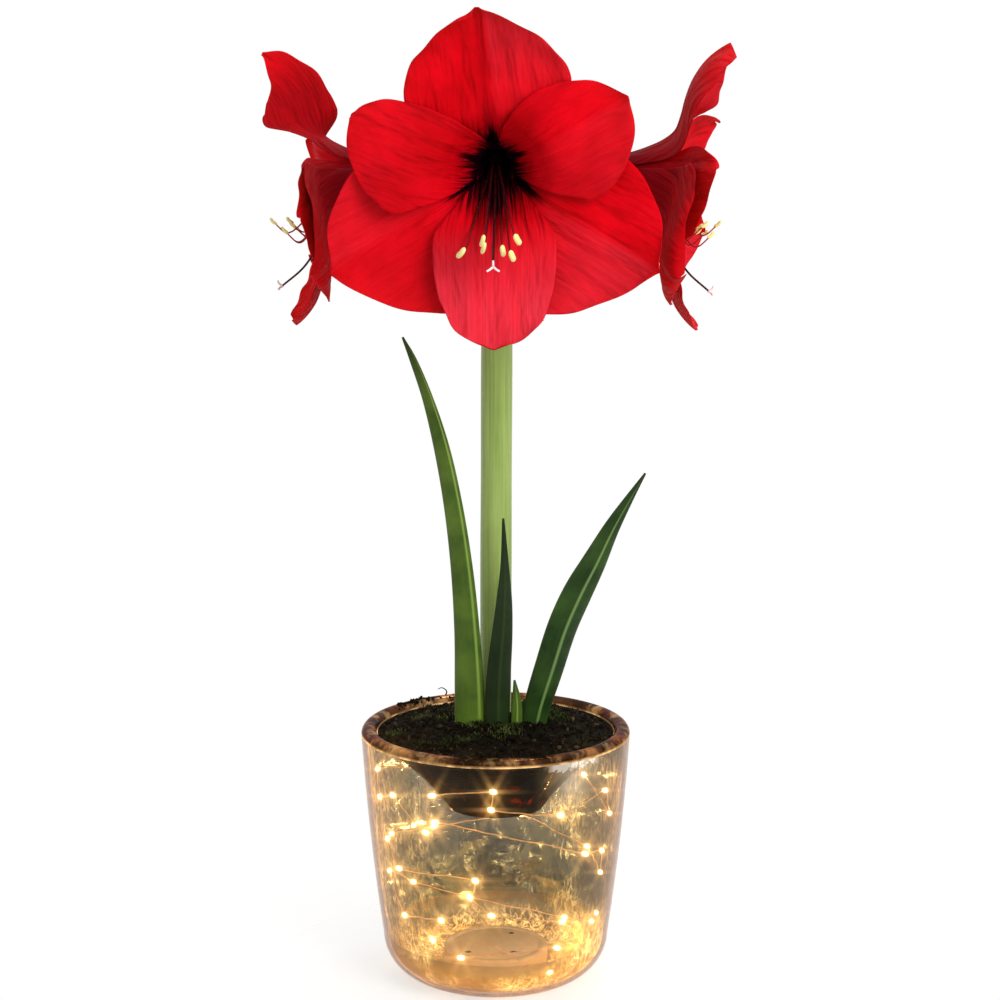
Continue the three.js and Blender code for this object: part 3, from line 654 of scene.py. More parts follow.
def petal_material():
    """Velvety red, near black in the throat.

    grown holds along, across in mm, and a third: 0 outside, 1 + pink inside, a painted highlight, and 1 -
    crease in a groove, painted shade.
    """
    look = Look(
        "petal_red", Roughness=0.65, Specular_IOR_Level=0.04, Subsurface_Weight=0.25,
        Subsurface_Scale=0.004, Subsurface_Radius=(1.0, 0.12, 0.12),
    )
    along, across, third = look.grown()
    side = third.math("GREATER_THAN", 0.2)
    # painted highlight: a pale pink share on each half of the inside
    painted_sheen = (third - 1.0).clamped()
    # painted shade: darker along the midline, where the tepal folds
    painted_crease_shade = (1.0 - third).clamped() * side
    veins = look.vector(across * 0.5, along * 2.0, side).noise(1.5, 4, 0.6)
    fine = look.vector(across * 2.4, along, side).noise(1.5, 2)
    patches = look.place.noise(34, 3, 0.5).grey((0.35, 0), (0.65, 1))
    inside = layered(
        blend(patches, colour(182, 1, 10), colour(214, 3, 20)),
        (veins.grey((0.3, 0.14), (0.5, 0)), colour(150, 0, 10)),
        (painted_sheen * along.grey((0.3, 0), (0.75, 1)) * fine.grey((0.3, 0.35), (0.7, 1)), colour(226, 64, 84)),
        (fine.grey((0.55, 0), (0.8, 0.12)), colour(226, 44, 60)),
        (painted_crease_shade, colour(112, 0, 12)),
    )
    # The outside is a darker red than the inside, partly its own colour and partly painted shade, and darker
    # still towards the tube, where it is painted shade.
    outside = layered(
        blend(veins.grey((0.35, 0), (0.7, 1)), colour(136, 3, 13), colour(182, 5, 19)),
        (along.grey((0.12, 1), (0.5, 0)), colour(70, 2, 14)),
        (along.grey((0.72, 0), (0.98, 0.9)), inside),
    )
    rays = look.vector(across * 1.1, along * 3.0, third).noise(1.0, 3, 0.6)
    groove = 0.55 / (across * across + 5.0)
    throat = along + (rays - 0.5) * 0.6 - groove
    throat = throat.grey((0.08, 1), (0.14, 0.9), (0.2, 0.5), (0.29, 0.17), (0.4, 0))
    face = layered(
        blend(side, outside, inside),
        (throat * side, colour(20, 0, 6)),
        ((1.0 - side) * along.grey((0.0, 1), (0.08, 0)), colour(96, 74, 30)),
    )
    folds = look.vector(across * 0.14, along * 3.5, third).noise(1.0, 2, 0.5) * 22.0
    look.bump(veins + fine * 0.5 + folds, 0.0003, 0.8)
    return look.done(face)


def leaf_material(name, deep, light, stripe, marked):
    """A leaf's skin: parallel veins and a pale midrib, marked by so much; grown is along, across, fold."""
    look = Look(name, Specular_IOR_Level=0.35)
    along, across, midrib = look.grown()
    veins = look.vector(across * 14.0, along * 3.0, midrib).noise(2.2, 3, 0.6)
    base = layered(
        blend(look.place.noise(45, 3).grey((0.3, 0), (0.7, 1)), deep, light),
        (veins.grey((0.42, 0.0), (0.7, 0.35)), light),
        (abs(across - midrib).grey((0.02, 0.85 * marked), (0.1, 0.0)), stripe),
        (abs(across).grey((0.93, 0), (1.0, 0.4 * marked)), stripe),
        (along.grey((0.0, 0.4), (0.16, 0)), light),
        (along.grey((0.7, 0), (1.0, 0.85)), deep),
    )
    look.set(Roughness=veins.grey((0.3, 0.36), (0.7, 0.52)))
    look.bump(veins, 0.0004, 0.5)
    return look.done(base)


def stem_material():
    """Smooth waxy green skin; grown holds along, the turn round the stem, and the piece's own number."""
    look = Look("stem_green", Roughness=0.42, Specular_IOR_Level=0.4, Sheen_Weight=0.15)
    along, turn, own = look.grown()
    streaks = look.vector(turn * 22.0, along * 4.0, own).noise(1.0, 3, 0.55)
    base = blend(streaks.grey((0.3, 0), (0.7, 1)), colour(118, 144, 60), colour(152, 172, 88))
    look.bump(streaks, 0.0003, 0.5)
    pale = look.place.noise(30, 3).grey((0.35, 0), (0.75, 0.4))
    return look.done(blend(pale, base, colour(166, 184, 112)))


def bract_material():
    look = Look("bract_brown", Roughness=0.75, Sheen_Weight=0.2)
    along, across, _ = look.grown()
    veins = look.vector(across * 9.0, along, 0.0).noise(2.0, 4, 0.6)
    base = veins.ramp(*shades((0.3, 120, 86, 50), (0.55, 176, 150, 108), (0.8, 208, 190, 150)))
    look.bump(veins, 0.0005, 0.8)
    return look.done(blend(along.grey((0, 0.5), (0.3, 0)), base, colour(120, 140, 70)))


def filament_material():
    """Dark maroon in the throat, redder towards the anther; grown's first number runs along."""
    look = Look("filament_red", Roughness=0.5, Specular_IOR_Level=0.2)
    reds = shades((0.0, 8, 0, 3), (0.5, 40, 0, 8), (0.8, 146, 6, 18), (1.0, 190, 14, 28))
    fleck = look.place.noise(900, 2).grey((0.4, 0), (0.8, 0.2))
    return look.done(blend(fleck, look.grown()[0].ramp(*reds), colour(150, 50, 44)))


def grained_material(name, grain, *stops, stretch=(1, 1, 1), relief=None, feeds=(), **sockets):
    """Coloured by one noise, set by grain; relief is its bump's distance and strength, feeds more sockets."""
    look = Look(name, **sockets)
    grains = look.place.stretched(stretch).noise(*grain)
    base = grains.ramp(*shades(*stops))
    if relief:
        look.bump(grains, *relief)
    look.set(**{socket: base for socket in feeds})
    return look.done(base)


def stamen_materials():
    return [
        filament_material(),
        grained_material(
            "anther_yellow", (2600, 3, 0.7),
            (0.3, 236, 214, 110), (0.5, 250, 242, 150), (0.75, 255, 252, 196),
            relief=(0.0003, 1.0), Roughness=0.85, Sheen_Weight=0.3,
        ),
        grained_material(
            "stigma_white", (1800, 2), (0.3, 232, 206, 204), (0.7, 252, 240, 240),
            Roughness=0.5, Sheen_Weight=0.4,
        ),
    ]


def soil_materials():
    """Peat, crumbs and moss; grown holds a crumb's tint, and a moss blade's tint and height."""
    peat = Look("peat", Roughness=0.95, Specular_IOR_Level=0.08)
    clods = peat.place.noise(260, 5, 0.65)
    earth = clods.ramp(*shades((0.28, 2, 2, 1), (0.5, 12, 9, 5), (0.74, 40, 30, 16)))
    earth = blend(peat.place.noise(55, 3).grey((0.46, 0), (0.66, 0.5)), earth, colour(24, 30, 10))
    peat.bump(clods, 0.0012, 1.0)

    crumb = Look("soil_crumbs", Roughness=0.9, Specular_IOR_Level=0.1)
    grain = crumb.place.noise(700, 3)
    browns = shades((0.0, 6, 5, 4), (0.5, 22, 16, 11), (0.85, 46, 34, 22), (1.0, 84, 66, 44))
    bark = blend(grain.grey((0.4, 0), (0.7, 0.5)), crumb.grown()[0].ramp(*browns), colour(18, 14, 10))
    crumb.bump(grain, 0.0006, 0.8)

    moss = Look("moss", Roughness=0.75, Specular_IOR_Level=0.15)
    tint, height, _ = moss.grown()
    green = tint.ramp(*shades((0.0, 20, 28, 8), (0.5, 58, 70, 26), (1.0, 124, 132, 70)))
    # painted shade: each moss blade darkens towards its foot, where the blades crowd
    green = blend(height.grey((0, 0.7), (1.0, 0)), green, colour(16, 16, 6))
    return [peat.done(earth), crumb.done(bark), moss.done(green)]


# ---------------------------------------------------------------- glass and case materials

GLASS_GLOSS = (1, 0.9, 0.8, 1)
EDGE_SMOKE = (0.62, 0.5, 0.46, 1)
LAMP_GOLD = (1.0, 0.6, 0.19, 1)
# the painted highlight under the rim: its tint, its middle, its foot and the foot of its fainter spread
HIGHLIGHT_WHITE = (0.8, 0.78, 0.74, 1)
HIGHLIGHT_MIDDLE = 0.042  # x of the painted white highlight under the rim at the front right
HIGHLIGHT_FOOT = 0.129
HIGHLIGHT_VEIL_FOOT = 0.1
LIP_HIGHLIGHT_LINE = 0.139


def clear_glass_material():
    """Clear glass: its gloss over whatever lies behind it, smokier where it is seen edge on."""
    look = Look("clear_glass")
    look.tree.nodes.remove(look.shader)
    edge = put(look.tree, "LayerWeight", output="Facing").grey((0.3, 0), (0.8, 1))
    smear = look.place.noise(40, 3, 0.6).grey((0.3, 0.03), (0.7, 0.048))
    gloss = put(look.tree, "BsdfGlossy", {"Color": GLASS_GLOSS, "Roughness": smear})
    leaving = put(look.tree, "NewGeometry", output="Backfacing") * 0.45
    share = put(look.tree, "Fresnel", {"IOR": 1.5}) * (1.0 - leaving)
    look.cover(share, blend(edge, (0.985, 0.98, 0.965, 1), EDGE_SMOKE), gloss)
    return look.material


def caustics(place, stretch, seed):
    """Bright winding threads, as lamps draw through uneven glass."""
    swirl = place.stretched(stretch, (seed, seed, 0)).noise(1.0, 3, 0.55, 1.6)
    return abs(swirl - 0.5).grey((0.0, 1), (0.02, 0.35), (0.06, 0))


def coat_material(name, deep, light, cover, roughness, glow):
    """A smoky half mirror, patchy like hand-laid silvering, with painted light: a gold glow low at the front,
    painted lamp reflections and caustic threads that glow towards its sides and foot, and a painted white
    highlight under the rim at the front right; cover and glow are (foot, top) values.
    """
    look = Look(name, Metallic=0.85, Roughness=roughness)
    place = look.place
    x, y, z = place.split()
    cloud = place.noise(26, 4, 0.6, 0.6)
    fleck = place.noise(190, 3, 0.7)
    high = (z * 7.0).grey((0.12, 0), (0.62, 1))

    # painted light: the coat's colour turns gold low down and towards the front, for the lamps' glow
    painted_gold_glow = (y * 1.6 + z * 10.0).grey((0.1, 1), (0.22, 0))
    metal = blend(cloud.grey((0.35, 0), (0.68, 1)), deep, light)
    metal = blend(painted_gold_glow, metal, colour(234, 188, 108))

    # painted light: the coat glows with painted lamp reflections towards its left and right sides and near
    # its foot, and with painted caustic threads
    drift = (place.noise(18, 3, 0.6) - 0.5) * 1.1
    sides = (abs(x) * 14.0 + drift).grey((0.5, 0), (0.95, 0.9))
    lit = sides.math("MAXIMUM", (z * 7.0).grey((0.06, 0.6), (0.13, 0.01)))
    threads = caustics(place, (90, 90, 26), 1.7) + caustics(place, (170, 170, 60), 4.1)
    threads = threads * place.noise(24, 2).grey((0.4, 0), (0.6, 1)) * 4.5
    painted_lamp_glow = (threads + cloud.grey((0.3, 0.1), (0.7, 0.4))) * lit * (high * (glow[1] - glow[0]) + glow[0])

    # painted highlight: a white patch under the rim at the front right, glowing and opaque, with a fainter,
    # wider spread reaching lower
    aside = abs(x - HIGHLIGHT_MIDDLE) * 28.0
    upper = ((z - HIGHLIGHT_FOOT) * 70.0 + (fleck - 0.5) * 0.9).grey((0.36, 0), (0.44, 1))
    patch = aside.grey((0.3, 0.8), (0.5, 0)) * upper
    highlight_veil = aside.grey((0.1, 0.9), (0.62, 0)) * ((z - HIGHLIGHT_VEIL_FOOT) * 25.0).grey((0.1, 0), (0.6, 0.6))
    painted_highlight = patch.math("MAXIMUM", highlight_veil) * y.math("LESS_THAN", 0.0)
    look.set(Emission_Strength=painted_lamp_glow + painted_highlight, Emission_Color=blend(painted_highlight, LAMP_GOLD, HIGHLIGHT_WHITE))

    uneven = (cloud + fleck - 1.0) * 0.16
    heavier = (y * 10.0 + 0.5).grey((0.0, 0), (1.0, 0.62))
    covered = (high * (cover[1] - cover[0]) + cover[0] + uneven + heavier).clamped()
    look.cover(covered.math("MAXIMUM", painted_highlight), (0.95, 0.92, 0.86, 1))
    look.bump(place.noise(48, 2, 0.5, 0.4), 0.004, 0.7)
    return look.done(metal)


def bowl_coat_material():
    """Dark copper mirror round the bowl, flaked off in one ragged patch towards the front right."""
    look = Look("bowl_copper_coat", Metallic=1.0, Roughness=0.16, Specular_Tint=(0.3, 0.16, 0.08, 1))
    place = look.place
    x, y, _ = place.split()
    coppers = shades((0.3, 4, 2, 1), (0.54, 34, 19, 8), (0.76, 132, 84, 38))
    base = place.noise(60, 4, 0.65, 0.5).ramp(*coppers)
    ragged = place.noise(150, 4, 0.7) * 0.022
    front = ((x + ragged) * 20.0).grey((0.76, 0.97), (0.78, 0.1))
    behind = ((y + 0.05) * 20.0).grey((0.6, 0), (0.9, 1))
    look.cover(front.math("MAXIMUM", behind), (0.9, 0.86, 0.8, 1))
    look.bump(place.noise(40, 1), 0.002, 0.4)
    return look.done(base)


def lip_material():
    """The thick lip, brown within, with a painted highlight: an amber band, glowing in spots, low on the lip
    where the outer coat begins, and glowing glints all over.
    """
    look = Look(
        "lip_amber", Metallic=0.75, Roughness=0.14, Specular_Tint=(0.42, 0.26, 0.15, 1),
        Specular_IOR_Level=0.3, Emission_Color=(1.0, 0.58, 0.24, 1),
    )
    place = look.place
    cloud = place.noise(55, 3, 0.55, 0.6)
    # painted highlight: the lip's lower half is amber and glows in spots, and glints glow all over it
    low = ((place.split()[2] - LIP_HIGHLIGHT_LINE) * 250.0).grey((0.05, 1), (0.4, 0))
    glowing_spots = place.noise(90, 2, 0.5).grey((0.45, 0.15), (0.68, 1.6))
    glints = place.noise(70, 3, 0.7).grey((0.5, 0), (0.75, 0.5))
    look.set(Emission_Strength=(low * glowing_spots).math("MAXIMUM", glints))
    look.bump(cloud, 0.003, 0.3)
    brown = cloud.ramp(*shades((0.35, 30, 16, 9), (0.55, 84, 52, 30), (0.78, 180, 126, 76)))
    return look.done(blend(low, brown, colour(236, 178, 110)))


def string_materials():
    """Copper wire with a painted glow for the lamps' warm light on it, and the lamps' glowing resin."""
    # painted light: the wire glows in its own copper colour
    copper = grained_material(
        "copper_wire", (400, 3), (0.3, 200, 136, 78), (0.7, 242, 196, 134),
        feeds=["Emission_Color"], Metallic=1.0, Roughness=0.28, Emission_Strength=0.7,
    )
    resin = grained_material(
        "lamp_glow", (900, 2), (0.3, 255, 202, 121), (0.7, 255, 211, 137),
        feeds=["Emission_Color"], Roughness=0.3, Emission_Strength=22.0,
    )
    return [copper, resin]


def plastic_material(name, shade, worn):
    look = Look(name, Roughness=0.5, Specular_IOR_Level=0.4)
    look.bump(look.place.noise(1500, 2), 0.0001, 0.5)
    return look.done(blend(look.place.noise(60, 4, 0.6).grey((0.4, 0), (0.75, 0.6)), shade, worn))


def steel_material():
    look = Look("cell_casing", Metallic=0.9)
    brushed = look.place.stretched((8, 900, 900)).noise(1.0, 2)
    look.set(Roughness=brushed.grey((0.2, 0.26), (0.8, 0.44)))
    return look.done(brushed.ramp(*shades((0.3, 150, 152, 156), (0.7, 205, 207, 210))))


# ---------------------------------------------------------------- glass pot


def glass_pot():
    """One blown shape: clear outside, half mirrored towards the chamber in its wall, amber at the lip."""
    clear, wall_coat, bowl_coat, base_coat, lip = range(5)
    wall, wall_normals = bezier(*OUTER_WALL, 36)
    bowl, bowl_normals = bezier(*BOWL, 30)
    corner = (FOOT_RADIUS, BASE_CORNER_RADIUS)
    hole, ring = BASE_HOLE_RADIUS, FOOT_RING_RADIUS
    stretches = [
        (bowl_coat, [(0, BOWL_FLOOR[1] - POT_WALL)]),
        (bowl_coat, bowl - bowl_normals * POT_WALL),
        (bowl_coat, arc((LIP_CENTRE[0] - 0.3, LIP_CENTRE[1] - 1.0), 2.0, 150, 30, 6)),
        (wall_coat, (wall + wall_normals * POT_WALL)[::-1]),
        (base_coat, arc(corner, BASE_CORNER_RADIUS - POT_WALL, 0, -60, 14)),
        (base_coat, [(FOOT_RADIUS - 1, BASE_THICKNESS - 2), (hole + 2, BASE_THICKNESS - 0.6)]),
        (clear, [(hole, BASE_THICKNESS), (hole, FOOT_RECESS)]),
        (clear, [(ring - 1, FOOT_RECESS), (ring, 0.3), (ring + 0.4, 0)]),
        (clear, arc(corner, BASE_CORNER_RADIUS, -90, 0, 18)),
        (clear, wall[1:-1]),
        (lip, arc(LIP_CENTRE, LIP_RADIUS, 0, 180, 20)),
        (clear, bowl[:-1][::-1]),
        (clear, [(0, BOWL_FLOOR[1])]),
    ]
    profile = np.vstack([points for _, points in stretches])
    looks = np.concatenate([[look] * len(points) for look, points in stretches])
    vertices, faces, bands = lathe(profile, 144)
    smoky = colour(96, 106, 104), colour(150, 162, 156)
    sandy = colour(104, 104, 92), colour(176, 170, 146)
    materials = [
        clear_glass_material(),
        coat_material("wall_half_mirror", *smoky, cover=(0.42, 0.2), roughness=0.14, glow=(0.9, 0.6)),
        bowl_coat_material(),
        coat_material("base_half_mirror", *sandy, cover=(0.72, 0.5), roughness=0.32, glow=(0.72, 0.6)),
        lip_material(),
    ]
    Body().add(vertices, faces, looks[bands].tolist()).make("glass_pot", materials, "glass", "glass_vessel")


# ---------------------------------------------------------------- battery case and light string


def battery_case():
    """A moulded drum with a rounded top edge, a raised rim and its screw wells."""
    ceiling = CASE_TOP - CASE_WALL
    room = CASE_RADIUS - CASE_WALL
    flange_top = CASE_BOTTOM + CASE_FLANGE_THICKNESS
    profile = [
        (0, ceiling), (room, ceiling), (room, CASE_BOTTOM), (CASE_FLANGE_RADIUS - 0.4, CASE_BOTTOM),
        (CASE_FLANGE_RADIUS, CASE_BOTTOM + 0.4), (CASE_FLANGE_RADIUS - 0.2, flange_top),
        (CASE_RADIUS, flange_top + 0.2),
        *arc((CASE_RADIUS - 1.6, CASE_TOP - 1.6), 1.6, 0, 90, 8),
        *((CASE_RADIUS - inset, CASE_TOP - drop) for inset, drop in CASE_GROOVE),
        (0, CASE_TOP - CASE_GROOVE[-1][1]),
    ]
    body = Body().add(*lathe(profile, 96)[:2])
    for bearing, away, bore in CASE_WELLS:
        rim = [(bore + out, height) for out, height in WELL_RIM]
        vertices, faces, bands = lathe([(0, 0.02), (bore, 0.05), (bore, 0.1), *rim], 24)
        place = polar(bearing, away, CASE_TOP - 0.17)
        body.add(vertices + place, faces, np.where(bands < 2, 1, 0).tolist())
    materials = [
        plastic_material("case_plastic", colour(240, 216, 180), colour(222, 190, 150)),
        plastic_material("case_well", colour(20, 14, 10), colour(36, 26, 18)),
    ]
    body.make("battery_case_drum", materials, "case_plastic", "battery_case")


def light_string():
    """Thin copper wire, slightly kinked, with a bead of clear resin at each lamp."""
    lamps = [polar(*lamp) for lamp in LAMPS]
    stops = np.array([polar(*point) for point in WIRE_LEAD] + lamps)
    numbers = np.linspace(0, len(stops) - 1, 14 * (len(stops) - 1) + 1)
    straight = np.stack([np.interp(numbers, range(len(stops)), stops[:, k]) for k in range(3)], 1)
    path = mix(straight, spline(stops, numbers / (len(stops) - 1)), 0.3)
    wander = np.stack([noise(path, 0.22, seed) for seed in (1, 2, 3)], 1)
    path = path + wander * np.abs(np.sin(numbers * np.pi))[:, None] * WIRE_WANDER
    body = Body().add(*tube(path, WIRE_RADIUS, 8))
    steps = np.linspace(-1, 1, 9)
    after_last = 2 * stops[-1] - stops[-2]
    for before, lamp, after in zip(stops[len(WIRE_LEAD) - 1 :], lamps, [*lamps[1:], after_last]):
        line = lamp + unit(after - before) * steps[:, None] * LAMP_HALF_LENGTH
        body.add(*tube(line, LAMP_RADIUS * np.sqrt(1.04 - steps**2), 10), look=1)
    body.make("light_string_wire", string_materials(), "copper_wire", "light_string")
    for number, lamp in enumerate(lamps):
        light = bpy.data.lights.new(f"lamp_light_{number}", "POINT")
        light.energy = LAMP_WATTS * min(1, (lamp[2] / LAMP_FULL_HEIGHT) ** 2)
        light.color = (1, 0.6, 0.24)
        light.shadow_soft_size = 0.8 * MM
        placed(light.name, light, (lamp - unit(lamp * (1, 1, 0)) * LAMP_INSET) * MM).visible_camera = False


# ---------------------------------------------------------------- soil


def soil_wall():
    bowl, normals = bezier(*BOWL, SOIL_RINGS)
    return bowl + normals * SOIL_GAP


SOIL_WALL = soil_wall()
SOIL_RADIUS, SOIL_EDGE = SOIL_WALL[-1]


def soil_height(x, y):
    """The clumpy top of the soil, as the solid has it."""
    edge = np.hypot(x, y) / SOIL_RADIUS
    clumps = np.sin(x * 0.31 + 1.3 * np.sin(y * 0.17)) * np.cos(y * 0.27 + np.sin(x * 0.21))
    crown = SOIL_CROWN * np.clip(1 - edge**2, 0, 1) ** 1.2
    return SOIL_EDGE + crown + SOIL_CLUMP * clumps * np.clip(1 - edge**4, 0, 1)


def soil():
    """The peat in the bowl, lumpier on top than the solid, with its crumbs and moss."""
    floor_height = SOIL_WALL[0][1]
    top_rings = [(SOIL_RADIUS * share, 0) for share in np.linspace(1, 0, 56)[1:]]
    vertices, faces, _ = lathe([(0, floor_height), *SOIL_WALL, *top_rings], 180)
    away = SOIL_RADIUS - np.hypot(vertices[:, 0], vertices[:, 1])
    top = (vertices[:, 2] < floor_height - 1) & (away > 0.01)
    lumps = noise(vertices[top], 0.42, 9, 4) * 1.1 * np.clip(away[top] / 6, 0, 1)
    vertices[top, 2] = soil_height(vertices[top, 0], vertices[top, 1]) + lumps - 0.8
    body = Body().add(vertices, faces)
    scatter_crumbs(body)
    scatter_moss(body)
    spill_crumbs(body)
    body.make("soil_bed", soil_materials(), "soil", "soil")


def ball():
    """A unit ball of 32 triangles: an octahedron with each face split in four."""
    faces = [(0, 2, 4), (2, 1, 4), (1, 3, 4), (3, 0, 4), (2, 0, 5), (1, 2, 5), (3, 1, 5), (0, 3, 5)]
    vertices = [(1, 0, 0), (-1, 0, 0), (0, 1, 0), (0, -1, 0), (0, 0, 1), (0, 0, -1)]
    middle = {}

    def between(a, b):
        key = (min(a, b), max(a, b))
        if key not in middle:
            middle[key] = len(vertices)
            vertices.append(tuple(unit((np.array(vertices[a]) + np.array(vertices[b])) / 2)))
        return middle[key]

    split = []
    for a, b, c in faces:
        d, e, f = between(a, b), between(b, c), between(c, a)
        split += [(a, d, f), (d, b, e), (f, e, c), (d, e, f)]
    return np.array(vertices, float), split


BALL, BALL_FACES = ball()


def scatter_crumbs(body):
    """Lumps of peat and bits of bark over the top of the soil."""
    for _ in range(CRUMBS):
        radius = (SOIL_RADIUS - 1.2) * math.sqrt(rng.uniform(0, 1))
        angle = rng.uniform(0, 2 * math.pi)
        x, y = radius * math.cos(angle), radius * math.sin(angle)
        size = rng.uniform(0.35, 0.8) if rng.uniform() < 0.75 else rng.uniform(0.8, 1.9)
        size = min(size, 0.35 + (SOIL_RADIUS - radius) * 0.25)
        stretch = rng.uniform(0.45, 1.3, 3)
        turn = rng.uniform(0, 2 * math.pi)
        lump = BALL * (1 + 0.28 * rng.normal(size=(len(BALL), 1))) * stretch * size
        cos, sin = math.cos(turn), math.sin(turn)
        spun = lump @ np.array([(cos, sin, 0), (-sin, cos, 0), (0, 0, 1)])
        place = (x, y, soil_height(x, y) - 0.5 + size * 0.35)
        body.add(spun + place, BALL_FACES, 1, (rng.uniform(0, 1) ** 1.8, 0, 0))


def spill_crumbs(body):
    """A few crumbs and a bit of root left on the lip at the back."""
    for _ in range(SPILLED_CRUMBS):
        side = rng.uniform(-LIP_RADIUS, 0.4) * 0.8
        size = rng.uniform(0.5, 1.3)
        height = LIP_CENTRE[1] + math.sqrt(LIP_RADIUS**2 - side**2)
        place = polar(rng.normal(-140, 8), LIP_CENTRE[0] + side, height + size * 0.3)
        lump = BALL * (1 + 0.3 * rng.normal(size=(len(BALL), 1))) * rng.uniform(0.5, 1.2, 3) * size
        body.add(lump + place, BALL_FACES, 1, (rng.uniform(0, 0.6), 0, 0))
    foot = polar(-155, LIP_CENTRE[0] - 1, POT_HEIGHT + 0.2)
    root = foot + np.array([(0, 0, 0), (0.6, 0, 2.0), (-0.5, 0.5, 3.4), (-2.6, 0.6, 4.2), (-4.6, 0.2, 3.4)])
    body.add(*tube(spline(root, np.linspace(0, 1, 20)), np.linspace(0.45, 0.2, 20), 8), 1, (0.3, 0, 0))


def scatter_moss(body):
    """Tufts of short moss blades, thickest in a few patches."""
    patches = [
        (rng.uniform(0, SOIL_RADIUS - 8), rng.uniform(0, 2 * math.pi), rng.uniform(4, 12))
        for _ in range(MOSS_PATCHES)
    ]
    faces = [(0, 3, 4, 1), (1, 4, 5, 2), (2, 5, 3, 0), (3, 6, 4), (4, 6, 5), (5, 6, 3), (0, 1, 2)]
    for radius, angle, spread in patches:
        centre = np.array([radius * math.cos(angle), radius * math.sin(angle)])
        patch_tint = rng.uniform(0.1, 0.7)
        for _ in range(int(spread * MOSS_BLADES)):
            x, y = centre + rng.normal(0, spread * 0.42, 2)
            if math.hypot(x, y) > SOIL_RADIUS - 1.5:
                continue
            foot = np.array([x, y, soil_height(x, y) - 0.6])
            height = rng.uniform(1.2, 3.6)
            lean = np.array([*rng.normal(0, 0.45, 2), 1.0])
            bend = foot + unit(lean + np.array([0, 0, 0.8])) * height * 0.55
            turn = rng.uniform(0, math.pi)
            wide = np.array([math.cos(turn), math.sin(turn), 0]) * rng.uniform(0.14, 0.3)
            deep = np.array([-wide[1], wide[0], 0]) * 0.5
            corners = [place + side for place in (foot, bend) for side in (-wide, wide, deep)]
            tint = np.clip(patch_tint + rng.normal(0, 0.2), 0, 1)
            heights = [(tint, up, 0) for up in (0, 0, 0, 0.6, 0.6, 0.6, 1)]
            body.add([*corners, foot + unit(lean) * height], faces, 2, heights)


# ---------------------------------------------------------------- scape, leaves and bracts


def scape():
    rows, sides = 60, 64
    share = np.linspace(0, 1, rows)[:, None]
    turns = around(sides)
    ribs = 1 - 0.012 * (1 + np.cos(9 * turns + 0.8 * share))
    ribbed = mix(SCAPE_RADIUS, SCAPE_TOP_RADIUS, share) * ribs * (1 - 0.015 * np.sin(share * 9) ** 2)
    height = mix(LEAF_FOOT, SCAPE_TOP, share)
    x = SCAPE_LEAN * share + ribbed * np.cos(turns)
    rings = np.stack(np.broadcast_arrays(x, ribbed * np.sin(turns), height), -1)
    rings = np.concatenate([rings, rings[-1:] * (0.985, 0.985, 1)])
    grown = ring_values([*share[:, 0], 0], sides, np.abs(turns / np.pi - 1))
    grown[rows * sides :] = 0
    return Body().add(*stacked(rings, (0, 0, LEAF_FOOT), (SCAPE_LEAN, 0, SCAPE_TOP)), 0, grown)


def leaf(data):
    """A strap leaf: its sides rise from a midrib that may lie off its middle; its margins are rounded."""
    u, v = np.linspace(0, 1, 110), np.linspace(-1, 1, 29)
    midrib = np.array(data["midrib"], float)
    curve = spline(midrib[:, :3], u)
    tangent = unit(spline(midrib[:, :3], u + 1e-3) - spline(midrib[:, :3], u - 1e-3))
    half = np.maximum(spline(midrib, u)[:, 3:], 0.25)
    facing = math.radians(data["facing"])
    outward = np.array([math.sin(facing), -math.cos(facing), 0])
    across = unit(np.cross(outward, tangent))
    fold = data["fold"]
    away = np.where(v > fold, (v - fold) / (1 - fold), (fold - v) / (1 + fold))
    rise = data["cup"] * v**2 + 0.12 * (1 - np.exp(-away * 5)) - 0.06
    wave = 0.05 * np.sin(u * 17 + 2)[:, None] * v**3
    middle = curve[:, None, :] - v[:, None] * half[:, None] * across[:, None, :]
    middle = middle - outward * (half * (rise + wave))[..., None]
    thickness = mix(2.2, 0.9, u)[:, None] * np.sqrt(np.clip(1.0 - np.abs(v) ** 5, 0.05, 1))
    vertices, faces = shell(middle, thickness * np.clip(half / 2.2, 0.25, 1))
    grown = np.stack(np.broadcast_arrays(u[:, None], -v, -fold), -1).reshape(-1, 3)
    return Body().add(vertices, faces, 0, np.vstack([grown, grown]))


def bract(data):
    """A papery strip that hangs from the scape's top, wider near its foot and crinkled."""
    u, v = np.meshgrid(np.linspace(0, 1, 60), np.linspace(-1, 1, 25), indexing="ij")
    width = data["half_width"] * np.sin(np.pi * np.minimum(0.3 + 0.68 * u, 0.98))
    away = SCAPE_RADIUS + 0.8 + data["lean"] * u * u * np.sin(np.pi * 0.62 * u)
    turn = data["bearing"] + np.degrees(v * width / (away + 4))
    crinkle = 0.25 * np.sin(v * 14 + 3 * u) * u + 0.35 * np.sin(u * 30 + v * 4) * np.abs(v)
    middle = polar(turn, away + 0.6 * np.sin(9 * u) * v * u + crinkle * 0.5, BRACT_TOP - data["length"] * u)
    vertices, faces = shell(middle + (SCAPE_LEAN, 0, 0), 0.45 * np.clip(1.2 - np.abs(v) ** 4, 0.3, 1))
    grown = np.stack([u, v, np.zeros_like(u)], -1).reshape(-1, 3)
    return Body().add(vertices, faces, 0, np.vstack([grown, grown]))


# ---------------------------------------------------------------- blooms


